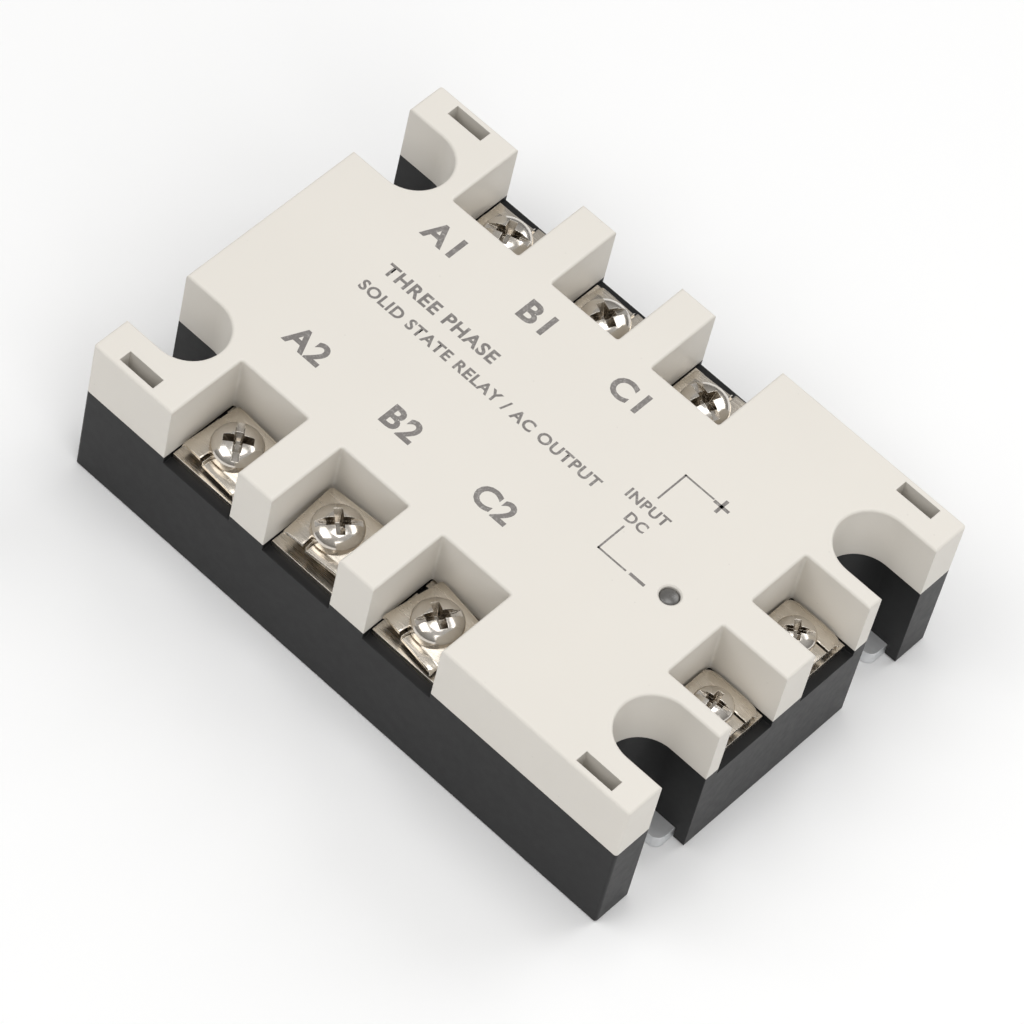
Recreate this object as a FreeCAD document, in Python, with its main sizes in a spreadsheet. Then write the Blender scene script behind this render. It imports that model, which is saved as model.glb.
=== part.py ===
"""Three-phase solid state relay: a black base on an aluminium plate, a cream snap-on cover, six
output terminals along the long sides and two input terminals at one end.

+X points to the input end, +Y to the row marked 1, +Z up. The origin is the middle of the
underside. Millimetres. Each node is one loose piece, or one group of identical ones.
"""
import FreeCAD, Part
import os
import Sketcher

DRIVING = (
    # housing
    ("overall_length", 105.0, "housing, end to end"),
    ("overall_width", 73.0, "housing, side to side"),
    ("overall_height", 29.4, "plate underside to cover top"),
    ("parting_height", 18.2, "plate underside to the joint between base and cover"),
    ("corner_radius", 0.5, "upright outer corners"),
    ("cover_edge_radius", 0.45, "edge round on the cover's top"),
    ("base_wall", 3.2, "base side walls"),
    ("cover_wall", 1.9, "cover side walls"),
    ("cover_roof", 2.0, "cover top"),
    # heat-spreading plate and mounting
    ("mount_long", 91.6, "mounting centres along the housing"),
    ("mount_cross", 47.2, "mounting centres across the housing"),
    ("notch_width", 12.1, "driver notch in base and cover"),
    ("plate_thickness", 2.4, "aluminium plate"),
    ("plate_inset", 2.2, "plate edge inside the housing's outline"),
    ("plate_gap", 0.15, "glue line round the plate"),
    ("plate_proud", 0.2, "plate underside below the base's rim"),
    ("plate_corner", 1.5, "plate corner radius"),
    ("slot_width", 4.9, "mounting slot in the plate"),
    # terminal bays
    ("phase_pitch", 20.0, "from one phase to the next"),
    ("bay_width", 13.3, "output bay"),
    ("bay_depth", 14.3, "output bay, from the housing's side"),
    ("bay_corner", 0.4, "upright inner corners of the bays"),
    ("input_pitch", 18.0, "between the two input terminals"),
    ("input_bay_width", 11.8, "input bay"),
    ("input_bay_depth", 12.3, "input bay, from the housing's end"),
    ("screw_inset", 7.9, "output screw axis from the housing's side"),
    ("input_screw_inset", 6.9, "input screw axis from the housing's end"),
    # terminal bars
    ("bar_thickness", 1.0, "output and input bars"),
    ("bar_drop", 0.2, "bar top below the joint plane"),
    ("bar_inset", 1.7, "bar's outer edge from the housing's face"),
    ("bar_side_gap", 0.2, "bar to bay wall"),
    ("bar_nick", 1.0, "depth of the nick in each bar side"),
    ("bar_nick_length", 1.8, "length of the nick"),
    ("bar_nick_place", 4.0, "nick from the screw axis"),
    ("bar_leg_width", 6.0, "leg that drops to the ceramic"),
    ("bar_foot", 2.4, "foot soldered to the ceramic"),
    ("input_tail_width", 4.0, "input bar under the board's edge"),
    ("input_pin_radius", 0.5, "pin from the input bar through the board"),
    # output screws, M4, and input screws, M3
    ("washer_side", 10.6, "output clamp washer, square"),
    ("washer_thickness", 1.8, "output clamp washer, sprung height"),
    ("washer_slit", 0.5, "slit from the hole to the front edge"),
    ("washer_slit_place", -1.7, "slit's middle, sideways of the screw"),
    ("washer_corner", 0.7, "washer corner radius"),
    ("screw_radius", 1.95, "output screw shank"),
    ("screw_length", 8.0, "output screw, under the head"),
    ("thread_pitch", 0.7, "output screw, lift in one turn"),
    ("head_radius", 4.0, "output screw head"),
    ("head_height", 3.1, "output screw head"),
    ("head_round", 1.5, "round of the head's top edge"),
    ("nut_side", 7.0, "output nut, square"),
    ("nut_thickness", 3.2, "output nut"),
    ("input_washer_side", 9.8, "input clamp washer, square"),
    ("input_washer_thickness", 1.7, "input clamp washer, sprung height"),
    ("input_washer_slit_place", 1.3, "slit's middle, sideways of the screw"),
    ("input_screw_radius", 1.45, "input screw shank"),
    ("input_screw_length", 7.0, "input screw, under the head"),
    ("input_head_radius", 3.15, "input screw head"),
    ("input_head_height", 2.4, "input screw head"),
    ("input_head_round", 1.3, "round of the head's top edge"),
    ("input_nut_side", 5.5, "input nut, square"),
    ("input_nut_thickness", 2.4, "input nut"),
    ("driver_slot", 0.9, "width of the driver slot and of the cross"),
    ("driver_depth", 1.0, "depth of the driver slot"),
    ("cross_depth", 0.8, "cross recess below the driver slot"),
    ("cross_reach", 0.52, "arm of the cross recess, share of the head's radius"),
    ("tip_bevel", 0.3, "bevel of the screw's tip, share of the shank's radius"),
    ("thread_gap", 0.06, "screw to nut, on the radius"),
    ("hole_gap", 0.25, "screw to bar and screw to washer, on the radius"),
    ("tip_gap", 0.7, "screw tip to the floor of its bore"),
    ("nut_gap", 0.1, "nut to its pocket"),
    ("shelf_thickness", 8.0, "plastic under the bars"),
    # snap hooks and the windows they show in
    ("window_length", 6.7, "window in the cover"),
    ("window_width", 2.2, "window in the cover"),
    ("window_inset_long", 7.65, "window's middle from the housing's end"),
    ("window_inset_cross", 2.1, "window's middle from the housing's side"),
    ("hook_gap", 0.2, "hook to the window's sides"),
    ("hook_stem", 1.2, "thickness of the hook's stem"),
    ("hook_rise", 4.0, "hook above the joint plane"),
    ("hook_catch", 2.2, "catch shoulder above the joint plane"),
    ("hook_barb", 0.6, "barb beyond the stem"),
    # power stage on the plate
    ("ceramic_length", 12.0, "ceramic along the housing"),
    ("ceramic_margin", 1.0, "ceramic beyond the bars' feet, across the housing"),
    ("ceramic_gap", 0.55, "ceramic of phase A to the base's end wall"),
    ("ceramic_thickness", 1.0, "ceramic with its copper"),
    ("chip_side", 7.0, "thyristor chip"),
    ("chip_thickness", 0.4, "thyristor chip"),
    ("chip_offset", 6.0, "chip from the housing's centre line"),
    ("strap_width", 3.0, "copper strap on a chip"),
    ("strap_thickness", 0.5, "copper strap on a chip"),
    ("strap_reach", 7.0, "strap from the chip's middle to its foot"),
    ("gate_pin_radius", 0.4, "gate pin"),
    ("gate_pin_along", 5.0, "gate pin from the phase's middle, along"),
    ("gate_pin_across", 2.6, "gate pin from the phase's middle, across"),
    ("potting_gap", 1.0, "resin below the terminal shelves"),
    # control board
    ("board_gap", 0.5, "board to the cover's walls"),
    ("board_seat", 1.6, "board on the base's rim"),
    ("board_thickness", 1.6, "control board"),
    ("board_hole_gap", 0.1, "pin to its hole, on the radius"),
    ("pin_stand", 0.8, "pins above the board"),
    ("coupler_length", 8.8, "opto-coupler body"),
    ("coupler_width", 6.4, "opto-coupler body"),
    ("coupler_height", 3.3, "opto-coupler body"),
    ("coupler_stand", 0.5, "opto-coupler body above the board"),
    ("lead_pitch", 2.54, "leads of an opto-coupler"),
    ("fine_pitch", 1.27, "leads of the transistor and of the lamp"),
    ("lead_width", 0.5, "flat leads"),
    ("lead_sunk", 0.5, "leads inside the transistor's body"),
    ("capacitor_length", 13.0, "snubber capacitor"),
    ("capacitor_width", 5.0, "snubber capacitor"),
    ("capacitor_height", 6.4, "snubber capacitor"),
    ("snubber_offset", 13.5, "snubber pieces from the centre line"),
    ("resistor_radius", 1.7, "snubber resistor"),
    ("resistor_length", 9.0, "snubber resistor"),
    ("wire_radius", 0.35, "wires of resistors and diode"),
    ("foot_side", 0.5, "square foot of a wire"),
    ("wire_bend", 1.4, "wire beyond a resistor's end"),
    ("small_radius", 0.9, "gate resistor and diode"),
    ("small_length", 3.4, "gate resistor and diode"),
    ("small_stand", 0.6, "gate resistor and diode above the board"),
    ("gate_resistor_along", -7.2, "gate resistor from the phase's middle"),
    ("gate_resistor_across", 4.6, "gate resistor from the centre line"),
    ("input_parts_along", 24.0, "input diode and transistor along the housing"),
    ("input_parts_across", 6.5, "input diode and transistor from the centre line"),
    ("transistor_radius", 2.3, "current limiter"),
    ("transistor_flat", 1.3, "flat face from the middle"),
    ("transistor_height", 4.6, "current limiter body"),
    ("transistor_stand", 1.2, "current limiter body above the board"),
    # indicator
    ("led_inset", 5.55, "lamp from the board's input end"),
    ("led_across", -5.2, "lamp across the housing"),
    ("led_radius", 1.5, "lamp body"),
    ("led_flange_radius", 1.9, "lamp flange"),
    ("led_flange_height", 0.8, "lamp flange"),
    ("led_height", 5.3, "lamp, flange to tip"),
    ("led_dome", 0.8, "round of the lamp's tip, share of its radius"),
    ("led_sink", 0.2, "lamp tip below the cover's top"),
    ("led_hole_gap", 0.1, "lamp to its hole, on the radius"),
    ("led_chamfer", 0.25, "chamfer round the lamp's hole"),
    ("spacer_wall", 0.7, "tube under the lamp"),
    # construction
    ("past", 1.0, "a cut runs this far beyond the face it opens"),
    ("lap", 0.1, "two stretches of one piece run into each other"),
)

DERIVED = (
    ("half_length", "overall_length / 2"),
    ("half_width", "overall_width / 2"),
    ("mount_x", "mount_long / 2"),
    ("mount_y", "mount_cross / 2"),
    ("notch_radius", "notch_width / 2"),
    ("notch_floor", "mount_x - notch_radius"),
    ("block_half", "mount_y - notch_radius"),
    ("plate_half_length", "half_length - plate_inset"),
    ("plate_half_width", "half_width - plate_inset"),
    ("base_depth", "parting_height - plate_proud"),
    ("cover_depth", "overall_height - parting_height"),
    ("cavity_x", "notch_floor - base_wall"),
    ("cavity_y", "half_width - base_wall"),
    ("cavity_end_x", "half_length - base_wall"),
    ("cavity_end_y", "block_half - base_wall"),
    ("room_x", "notch_floor - cover_wall"),
    ("room_y", "half_width - bay_depth - cover_wall"),
    ("room_end_x", "half_length - cover_wall"),
    ("room_end_y", "block_half - cover_wall"),
    ("room_input_x", "half_length - input_bay_depth - cover_wall"),
    ("board_x", "min(room_x; room_input_x) - board_gap"),
    ("board_y", "room_y - board_gap"),
    ("opening_x", "board_x - board_seat"),
    ("opening_y", "board_y - board_seat"),
    ("phase_middle", "phase_pitch - cavity_x + ceramic_length / 2 + ceramic_gap"),
    ("phase_a", "phase_middle - phase_pitch"),
    ("phase_b", "phase_middle"),
    ("phase_c", "phase_middle + phase_pitch"),
    ("bay_half", "bay_width / 2"),
    ("bay_back", "half_width - bay_depth"),
    ("input_bay_half", "input_bay_width / 2"),
    ("input_bay_back", "half_length - input_bay_depth"),
    ("input_y", "input_pitch / 2"),
    ("screw_y", "half_width - screw_inset"),
    ("input_screw_x", "half_length - input_screw_inset"),
    ("bar_top", "parting_height - bar_drop"),
    ("bar_seat", "bar_top - bar_thickness"),
    ("bar_half", "bay_half - bar_side_gap"),
    ("input_bar_half", "input_bay_half - bar_side_gap"),
    ("head_seat", "bar_top + washer_thickness"),
    ("input_head_seat", "bar_top + input_washer_thickness"),
    ("shelf_floor", "bar_seat - shelf_thickness"),
    ("potting_height", "shelf_floor - plate_thickness - potting_gap"),
    ("nut_floor", "bar_seat - nut_thickness - nut_gap"),
    ("input_nut_floor", "bar_seat - input_nut_thickness - nut_gap"),
    ("bore_floor", "head_seat - screw_length - tip_gap"),
    ("input_bore_floor", "input_head_seat - input_screw_length - tip_gap"),
    ("window_x", "half_length - window_inset_long"),
    ("window_y", "half_width - window_inset_cross"),
    ("window_half_x", "window_length / 2"),
    ("window_half_y", "window_width / 2"),
    ("stem_inner", "window_y - window_half_y + hook_gap"),
    ("stem_outer", "stem_inner + hook_stem"),
    ("ceramic_top", "plate_thickness + ceramic_thickness"),
    ("chip_top", "ceramic_top + chip_thickness"),
    ("board_top", "parting_height + board_thickness"),
    ("led_x", "board_x - led_inset"),
    ("led_floor", "overall_height - led_sink - led_height"),
    ("led_hole", "led_radius + led_hole_gap"),
    ("input_pin_x", "opening_x + board_seat / 2"),
    ("bar_leg_outer", "opening_y - bar_side_gap"),
    ("ceramic_width", "2 * (bar_leg_outer + ceramic_margin)"),
)

PHASES = ("a", "b", "c")
# row marked 1 lies on +Y, row marked 2 on -Y: name, side of the housing, turn about +Z
ROWS = (("1", 1, 180), ("2", -1, 0))
INPUTS = (("plus", 1), ("minus", -1))
# turns by which a screw is backed out of its nut; the others are tight
TURNS_OUT = {"b2": 2}
# edges are told apart to within this distance, and are upright from this cosine
CLOSE = 0.02
UPRIGHT = 0.999

doc = FreeCAD.newDocument("solid_state_relay")
dim = doc.addObject("Spreadsheet::Sheet", "dim")
nodes = []


# ---------------------------------------------------------------- helpers

def fill_sheet():
    """Write the driving sizes as plain numbers and the derived ones as formulas."""
    rows = [(word, str(value), note) for word, value, note in DRIVING]
    rows += [(word, "=" + formula, "derived") for word, formula in DERIVED]
    for number, (word, content, note) in enumerate(rows, start=1):
        dim.set(f"A{number}", word)
        dim.set(f"B{number}", content)
        dim.set(f"C{number}", note)
        dim.setAlias(f"B{number}", word)
    doc.recompute()


def size(formula):
    """Value of a formula over the sheet's words."""
    return float(dim.evalExpression(formula))


def node(piece, label):
    """Give a finished piece the label that names its file."""
    piece.Label = label
    nodes.append(piece)
    return piece


def place(piece, x, y, z, turn=0):
    """Bind a piece's position to the sheet and turn it about +Z."""
    piece.Placement = FreeCAD.Placement(FreeCAD.Vector(size(x), size(y), size(z)),
                                        FreeCAD.Rotation(FreeCAD.Vector(0, 0, 1), turn))
    for axis, formula in zip("xyz", (x, y, z)):
        piece.setExpression(f"Placement.Base.{axis}", formula)
    return piece


def box(name, centre, extent, floor, rise):
    """Block: centre and extent in plan as formulas, floor height and rise."""
    block = doc.addObject("Part::Box", name)
    for key, formula in zip(("Length", "Width", "Height"), (*extent, rise)):
        block.setExpression(key, formula)
    corner = [f"({middle}) - ({length}) / 2" for middle, length in zip(centre, extent)]
    return place(block, *corner, floor)


def rod(name, centre, radius, floor, rise):
    """Upright cylinder."""
    cylinder = doc.addObject("Part::Cylinder", name)
    cylinder.setExpression("Radius", radius)
    cylinder.setExpression("Height", rise)
    return place(cylinder, *centre, floor)


def lying_rod(name, centre, radius, length, height, along):
    """Cylinder lying along X or Y, its middle at the centre."""
    cylinder = doc.addObject("Part::Cylinder", name)
    cylinder.setExpression("Radius", radius)
    cylinder.setExpression("Height", length)
    x, y = centre
    if along == "x":
        spin = FreeCAD.Rotation(FreeCAD.Vector(0, 1, 0), 90)
        start = (f"({x}) - ({length}) / 2", y, height)
    else:
        spin = FreeCAD.Rotation(FreeCAD.Vector(1, 0, 0), -90)
        start = (x, f"({y}) - ({length}) / 2", height)
    place(cylinder, *start)
    cylinder.Placement.Rotation = spin
    return cylinder


def join(name, pieces):
    """One solid merged from several that touch."""
    union = doc.addObject("Part::MultiFuse", name)
    union.Shapes = pieces
    return union


def group(name, pieces):
    """One object of several loose, like solids."""
    bundle = doc.addObject("Part::Compound", name)
    bundle.Links = pieces
    return bundle


def cut(name, base, tool):
    """Base less tool."""
    remainder = doc.addObject("Part::Cut", name)
    remainder.Base = base
    remainder.Tool = tool
    return remainder


def new_body(name):
    """Empty body for a piece built from sketches."""
    return doc.addObject("PartDesign::Body", name)


def sketch_on(body, role, height=None):
    """Sketch on one of the body's own origin planes, lifted to a height."""
    plane = [item for item in body.Origin.OriginFeatures if item.Role == role][0]
    sketch = body.newObject("Sketcher::SketchObject", f"{body.Name}_sketch")
    sketch.AttachmentSupport = (plane, [""])
    sketch.MapMode = "FlatFace"
    if height is not None:
        sketch.setExpression("AttachmentOffset.Base.z", height)
    return sketch


def pin_point(sketch, edge, end, x, y):
    """Hold one point of a sketch at sheet-driven coordinates."""
    for kind, axis, formula in (("DistanceX", -2, x), ("DistanceY", -1, y)):
        value = size(formula)
        if formula == "0":
            sketch.addConstraint(Sketcher.Constraint("PointOnObject", edge, end, axis))
        else:
            index = sketch.addConstraint(Sketcher.Constraint(kind, -1, 1, edge, end, value))
            sketch.setExpression(f"Constraints[{index}]", formula)


def polygon(sketch, corners):
    """Closed outline whose corners are pairs of formulas."""
    points = [FreeCAD.Vector(size(x), size(y), 0) for x, y in corners]
    first = sketch.GeometryCount
    count = len(points)
    for index in range(count):
        sketch.addGeometry(Part.LineSegment(points[index], points[(index + 1) % count]))
    for index in range(count):
        following = first + (index + 1) % count
        sketch.addConstraint(Sketcher.Constraint("Coincident", first + index, 2, following, 1))
    for index, (x, y) in enumerate(corners):
        pin_point(sketch, first + index, 1, x, y)


def rectangle(sketch, left, right, front, back):
    """Closed outline square to the axes."""
    polygon(sketch, ((left, front), (right, front), (right, back), (left, back)))


def circle(sketch, x, y, radius):
    """Circle with its centre and radius bound to the sheet."""
    centre = FreeCAD.Vector(size(x), size(y), 0)
    edge = sketch.addGeometry(Part.Circle(centre, FreeCAD.Vector(0, 0, 1), size(radius)))
    pin_point(sketch, edge, 3, x, y)
    index = sketch.addConstraint(Sketcher.Constraint("Radius", edge, size(radius)))
    sketch.setExpression(f"Constraints[{index}]", radius)


def pad(body, sketch, length, reverse=False, middle=False):
    """Raise a sketch; the result must be larger than before."""
    before = body.Shape.Volume if body.Tip else 0.0
    feature = body.newObject("PartDesign::Pad", f"{body.Name}_pad")
    feature.Profile = sketch
    feature.setExpression("Length", length)
    feature.Reversed = reverse
    feature.Midplane = middle
    doc.recompute()
    if body.Shape.Volume <= before:
        raise RuntimeError(f"{feature.Name} adds nothing")
    return feature


def pocket(body, sketch, depth, reverse=False):
    """Sink a sketch by a depth, against its normal; it must remove something."""
    before = body.Shape.Volume
    feature = body.newObject("PartDesign::Pocket", f"{body.Name}_pocket")
    feature.Profile = sketch
    feature.setExpression("Length", depth)
    feature.Reversed = reverse
    doc.recompute()
    if body.Shape.Volume >= before:
        raise RuntimeError(f"{feature.Name} removes nothing")
    return feature


def revolve(body, sketch):
    """Turn a profile once round its upright axis."""
    feature = body.newObject("PartDesign::Revolution", f"{body.Name}_turned")
    feature.Profile = sketch
    feature.ReferenceAxis = (sketch, ["V_Axis"])
    feature.Angle = 360
    doc.recompute()
    return feature


def dress(body, kind, key, amount, choose):
    """Fillet or chamfer the edges that a test picks."""
    base = body.Tip
    names = [f"Edge{number}" for number, edge in enumerate(base.Shape.Edges, start=1)
             if choose(edge)]
    if not names:
        raise RuntimeError(f"{body.Name} has no edge to dress")
    feature = body.newObject(f"PartDesign::{kind}", f"{body.Name}_{kind.lower()}")
    feature.Base = (base, names)
    feature.setExpression(key, amount)
    doc.recompute()
    return feature


def is_upright(edge):
    """True for a straight edge along Z."""
    if not isinstance(edge.Curve, Part.Line):
        return False
    return abs(edge.tangentAt(edge.FirstParameter).z) > UPRIGHT


def middle_of(edge):
    """Point half-way along an edge."""
    return edge.valueAt((edge.FirstParameter + edge.LastParameter) / 2)


def near(value, target):
    """True if two lengths are the same."""
    return abs(value - target) < CLOSE


def is_housing_corner(edge):
    """Upright edge at one of the four outer corners of the housing."""
    point = middle_of(edge)
    return is_upright(edge) and near(abs(point.x), size("dim.half_length")) \
        and near(abs(point.y), size("dim.half_width"))


def phase_x(phase):
    """Place of a phase along the housing, as a formula."""
    return f"dim.phase_{phase}"


def signed(sign, formula):
    """A formula, or its negative on the other side."""
    return formula if sign > 0 else f"-({formula})"


def ordered(first, second):
    """Two formulas, the smaller first."""
    return (first, second) if size(first) < size(second) else (second, first)


# ---------------------------------------------------------------- shared outlines

def cut_notches(body, top, depth):
    """Four U-shaped driver notches, open at the housing's ends."""
    straight = sketch_on(body, "XY_Plane", top)
    rounds = sketch_on(body, "XY_Plane", top)
    for sign_x in (-1, 1):
        for sign_y in (-1, 1):
            inner = signed(sign_x, "dim.mount_x")
            outer = signed(sign_x, "dim.half_length + dim.past")
            front = f"{sign_y} * dim.mount_y - dim.notch_radius"
            back = f"{sign_y} * dim.mount_y + dim.notch_radius"
            rectangle(straight, *ordered(inner, outer), front, back)
            circle(rounds, inner, f"{sign_y} * dim.mount_y", "dim.notch_radius")
    pocket(body, straight, depth)
    pocket(body, rounds, depth)


def cavity_outline(sketch):
    """Room inside the base under the terminal shelves: a wide middle and two end blocks."""
    x, y = "dim.cavity_x", "dim.cavity_y"
    end_x, end_y = "dim.cavity_end_x", "dim.cavity_end_y"
    quarter = ((x, y), (x, end_y), (end_x, end_y))
    corners = list(quarter)
    corners += [(a, f"-{b}") for a, b in reversed(quarter)]
    corners += [(f"-{a}", f"-{b}") for a, b in quarter]
    corners += [(f"-{a}", b) for a, b in reversed(quarter)]
    polygon(sketch, corners)


def bays(sketch, back, input_back):
    """The six output bays and the two input bays, open at the housing's faces."""
    for phase in PHASES:
        left = f"{phase_x(phase)} - dim.bay_half"
        right = f"{phase_x(phase)} + dim.bay_half"
        rectangle(sketch, left, right, back, "dim.half_width + dim.past")
        rectangle(sketch, left, right, "-dim.half_width - dim.past", f"-({back})")
    for _, side in INPUTS:
        middle = f"{side} * dim.input_y"
        rectangle(sketch, input_back, "dim.half_length + dim.past",
                  f"{middle} - dim.input_bay_half", f"{middle} + dim.input_bay_half")


# ---------------------------------------------------------------- housing

def base_housing():
    """Black moulded frame: walls, terminal shelves, nut pockets, plate seat and snap hooks."""
    body = new_body("base_housing")
    outline = sketch_on(body, "XY_Plane", "dim.plate_proud")
    rectangle(outline, "-dim.half_length", "dim.half_length", "-dim.half_width", "dim.half_width")
    pad(body, outline, "dim.base_depth")
    dress(body, "Fillet", "Radius", "dim.corner_radius", is_housing_corner)
    cut_notches(body, "dim.parting_height", "dim.base_depth + dim.past")

    cavity = sketch_on(body, "XY_Plane", "dim.shelf_floor")
    cavity_outline(cavity)
    pocket(body, cavity, "dim.shelf_floor + dim.past")

    opening = sketch_on(body, "XY_Plane", "dim.parting_height")
    rectangle(opening, "-dim.opening_x", "dim.opening_x", "-dim.opening_y", "dim.opening_y")
    pocket(body, opening, "dim.parting_height - dim.shelf_floor + dim.past")
    end_room = sketch_on(body, "XY_Plane", "dim.parting_height")
    rectangle(end_room, "-dim.cavity_end_x", "-dim.opening_x + dim.past",
              "-dim.cavity_end_y", "dim.cavity_end_y")
    pocket(body, end_room, "dim.parting_height - dim.shelf_floor + dim.past")

    seat = sketch_on(body, "XY_Plane", "dim.plate_thickness")
    rectangle(seat, "-dim.plate_half_length - dim.plate_gap", "dim.plate_half_length + dim.plate_gap",
              "-dim.plate_half_width - dim.plate_gap", "dim.plate_half_width + dim.plate_gap")
    pocket(body, seat, "dim.plate_thickness + dim.past")

    ledges = sketch_on(body, "XY_Plane", "dim.parting_height")
    bays(ledges, "dim.opening_y - dim.past", "dim.opening_x - dim.past")
    pocket(body, ledges, "dim.parting_height - dim.bar_seat")

    sink_nuts(body)
    raise_hooks(body)
    return node(body, "base_housing")


def sink_nuts(body):
    """Square nut pockets under the bars, and a blind bore below each for the screw's tip."""
    for prefix, seats in (("", output_seats()), ("input_", input_seats())):
        pockets = sketch_on(body, "XY_Plane", "dim.bar_seat")
        bores = sketch_on(body, "XY_Plane", "dim.bar_seat")
        half = f"(dim.{prefix}nut_side / 2 + dim.nut_gap)"
        for x, y in seats:
            rectangle(pockets, f"{x} - {half}", f"{x} + {half}", f"{y} - {half}", f"{y} + {half}")
            circle(bores, x, y, f"dim.{prefix}screw_radius + dim.hole_gap")
        pocket(body, pockets, f"dim.bar_seat - dim.{prefix}nut_floor")
        pocket(body, bores, f"dim.bar_seat - dim.{prefix}bore_floor")


def output_seats():
    """Screw axes of the six output terminals, as formulas."""
    return [(phase_x(phase), f"{side} * dim.screw_y") for phase in PHASES for _, side, _ in ROWS]


def input_seats():
    """Screw axes of the two input terminals, as formulas."""
    return [("dim.input_screw_x", f"{side} * dim.input_y") for _, side in INPUTS]


def raise_hooks(body):
    """Four snap hooks: a stem, then a barb that catches on the cover's shoulder."""
    stems = sketch_on(body, "XY_Plane", "dim.parting_height")
    barbs = sketch_on(body, "XY_Plane", "dim.parting_height + dim.hook_catch + dim.hook_gap")
    for sign_x in (-1, 1):
        left = f"{sign_x} * dim.window_x - dim.window_half_x + dim.hook_gap"
        right = f"{sign_x} * dim.window_x + dim.window_half_x - dim.hook_gap"
        for sign_y in (-1, 1):
            inner = f"{sign_y} * dim.stem_inner"
            outer = f"{sign_y} * dim.stem_outer"
            tip = f"{sign_y} * (dim.stem_outer + dim.hook_barb)"
            rectangle(stems, left, right, *ordered(inner, outer))
            rectangle(barbs, left, right, *ordered(inner, tip))
    pad(body, stems, "dim.hook_rise")
    pad(body, barbs, "dim.hook_rise - dim.hook_catch - dim.hook_gap")


def top_cover():
    """Cream moulded cover: open bays, driver notches, hook windows and the lamp's hole."""
    body = new_body("top_cover")
    outline = sketch_on(body, "XY_Plane", "dim.parting_height")
    rectangle(outline, "-dim.half_length", "dim.half_length", "-dim.half_width", "dim.half_width")
    pad(body, outline, "dim.cover_depth")
    dress(body, "Fillet", "Radius", "dim.corner_radius", is_housing_corner)
    cut_notches(body, "dim.overall_height", "dim.cover_depth + dim.past")

    openings = sketch_on(body, "XY_Plane", "dim.overall_height")
    bays(openings, "dim.bay_back", "dim.input_bay_back")
    pocket(body, openings, "dim.cover_depth + dim.past")
    dress(body, "Fillet", "Radius", "dim.bay_corner", is_bay_corner)

    windows = sketch_on(body, "XY_Plane", "dim.overall_height")
    throats = sketch_on(body, "XY_Plane", "dim.parting_height + dim.hook_catch + dim.past")
    for sign_x in (-1, 1):
        left = f"{sign_x} * dim.window_x - dim.window_half_x"
        right = f"{sign_x} * dim.window_x + dim.window_half_x"
        for sign_y in (-1, 1):
            near_side = f"{sign_y} * (dim.window_y - dim.window_half_y)"
            far_side = f"{sign_y} * (dim.window_y + dim.window_half_y)"
            throat = f"{sign_y} * (dim.stem_outer + dim.hook_gap)"
            rectangle(windows, left, right, *ordered(near_side, far_side))
            rectangle(throats, left, right, *ordered(near_side, throat))
    pocket(body, windows, "dim.cover_depth - dim.hook_catch")
    pocket(body, throats, "dim.hook_catch + 2 * dim.past")

    lamp = sketch_on(body, "XY_Plane", "dim.overall_height")
    circle(lamp, "dim.led_x", "dim.led_across", "dim.led_hole")
    pocket(body, lamp, "dim.cover_roof + dim.past")
    dress(body, "Fillet", "Radius", "dim.cover_edge_radius", is_cover_rim)
    dress(body, "Chamfer", "Size", "dim.led_chamfer", is_lamp_rim)
    hollow_cover(body)
    return node(body, "top_cover")


def is_bay_corner(edge):
    """Upright inner corner at the back of a bay."""
    point = middle_of(edge)
    output = near(abs(point.y), size("dim.bay_back")) and abs(point.x) < size("dim.notch_floor")
    entry = near(point.x, size("dim.input_bay_back")) and abs(point.y) < size("dim.block_half")
    return is_upright(edge) and (output or entry)


def is_cover_rim(edge):
    """Edge of the cover's top face, apart from those of the windows and of the lamp's hole."""
    point = middle_of(edge)
    levels = [point.z] + [vertex.Point.z for vertex in edge.Vertexes]
    if not all(near(level, size("dim.overall_height")) for level in levels):
        return False
    beside_x = abs(abs(point.x) - size("dim.window_x")) < size("dim.window_half_x + dim.lap")
    beside_y = abs(abs(point.y) - size("dim.window_y")) < size("dim.window_half_y + dim.lap")
    return not (beside_x and beside_y) and not is_lamp_rim(edge)


def is_lamp_rim(edge):
    """Round edge of the lamp's hole in the cover's top face."""
    if not isinstance(edge.Curve, Part.Circle):
        return False
    centre = edge.Curve.Center
    return near(centre.x, size("dim.led_x")) and near(centre.y, size("dim.led_across")) \
        and near(centre.z, size("dim.overall_height"))


def hollow_cover(body):
    """Room over the board, wider past the last phase, and a core in each bay partition."""
    room = sketch_on(body, "XY_Plane", "dim.parting_height")
    side = "dim.half_width - dim.cover_wall"
    step = "dim.phase_c + dim.bay_half + dim.cover_wall"
    upper = (("dim.room_input_x", side), (step, side), (step, "dim.room_y"),
             ("-dim.room_x", "dim.room_y"), ("-dim.room_x", "dim.room_end_y"),
             ("-dim.room_end_x", "dim.room_end_y"))
    corners = list(upper) + [(x, f"-({y})") for x, y in reversed(upper)]
    polygon(room, corners)
    pocket(body, room, "dim.cover_depth - dim.cover_roof", reverse=True)
    cores = sketch_on(body, "XY_Plane", "dim.parting_height")
    for first in ("a", "b"):
        middle = f"{phase_x(first)} + dim.phase_pitch / 2"
        half = "(dim.phase_pitch / 2 - dim.bay_half - dim.cover_wall)"
        for sign in (-1, 1):
            inner = f"{sign} * (dim.room_y - dim.past)"
            outer = f"{sign} * ({side})"
            rectangle(cores, f"{middle} - {half}", f"{middle} + {half}", *ordered(inner, outer))
    pocket(body, cores, "dim.cover_depth - dim.cover_roof", reverse=True)


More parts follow.
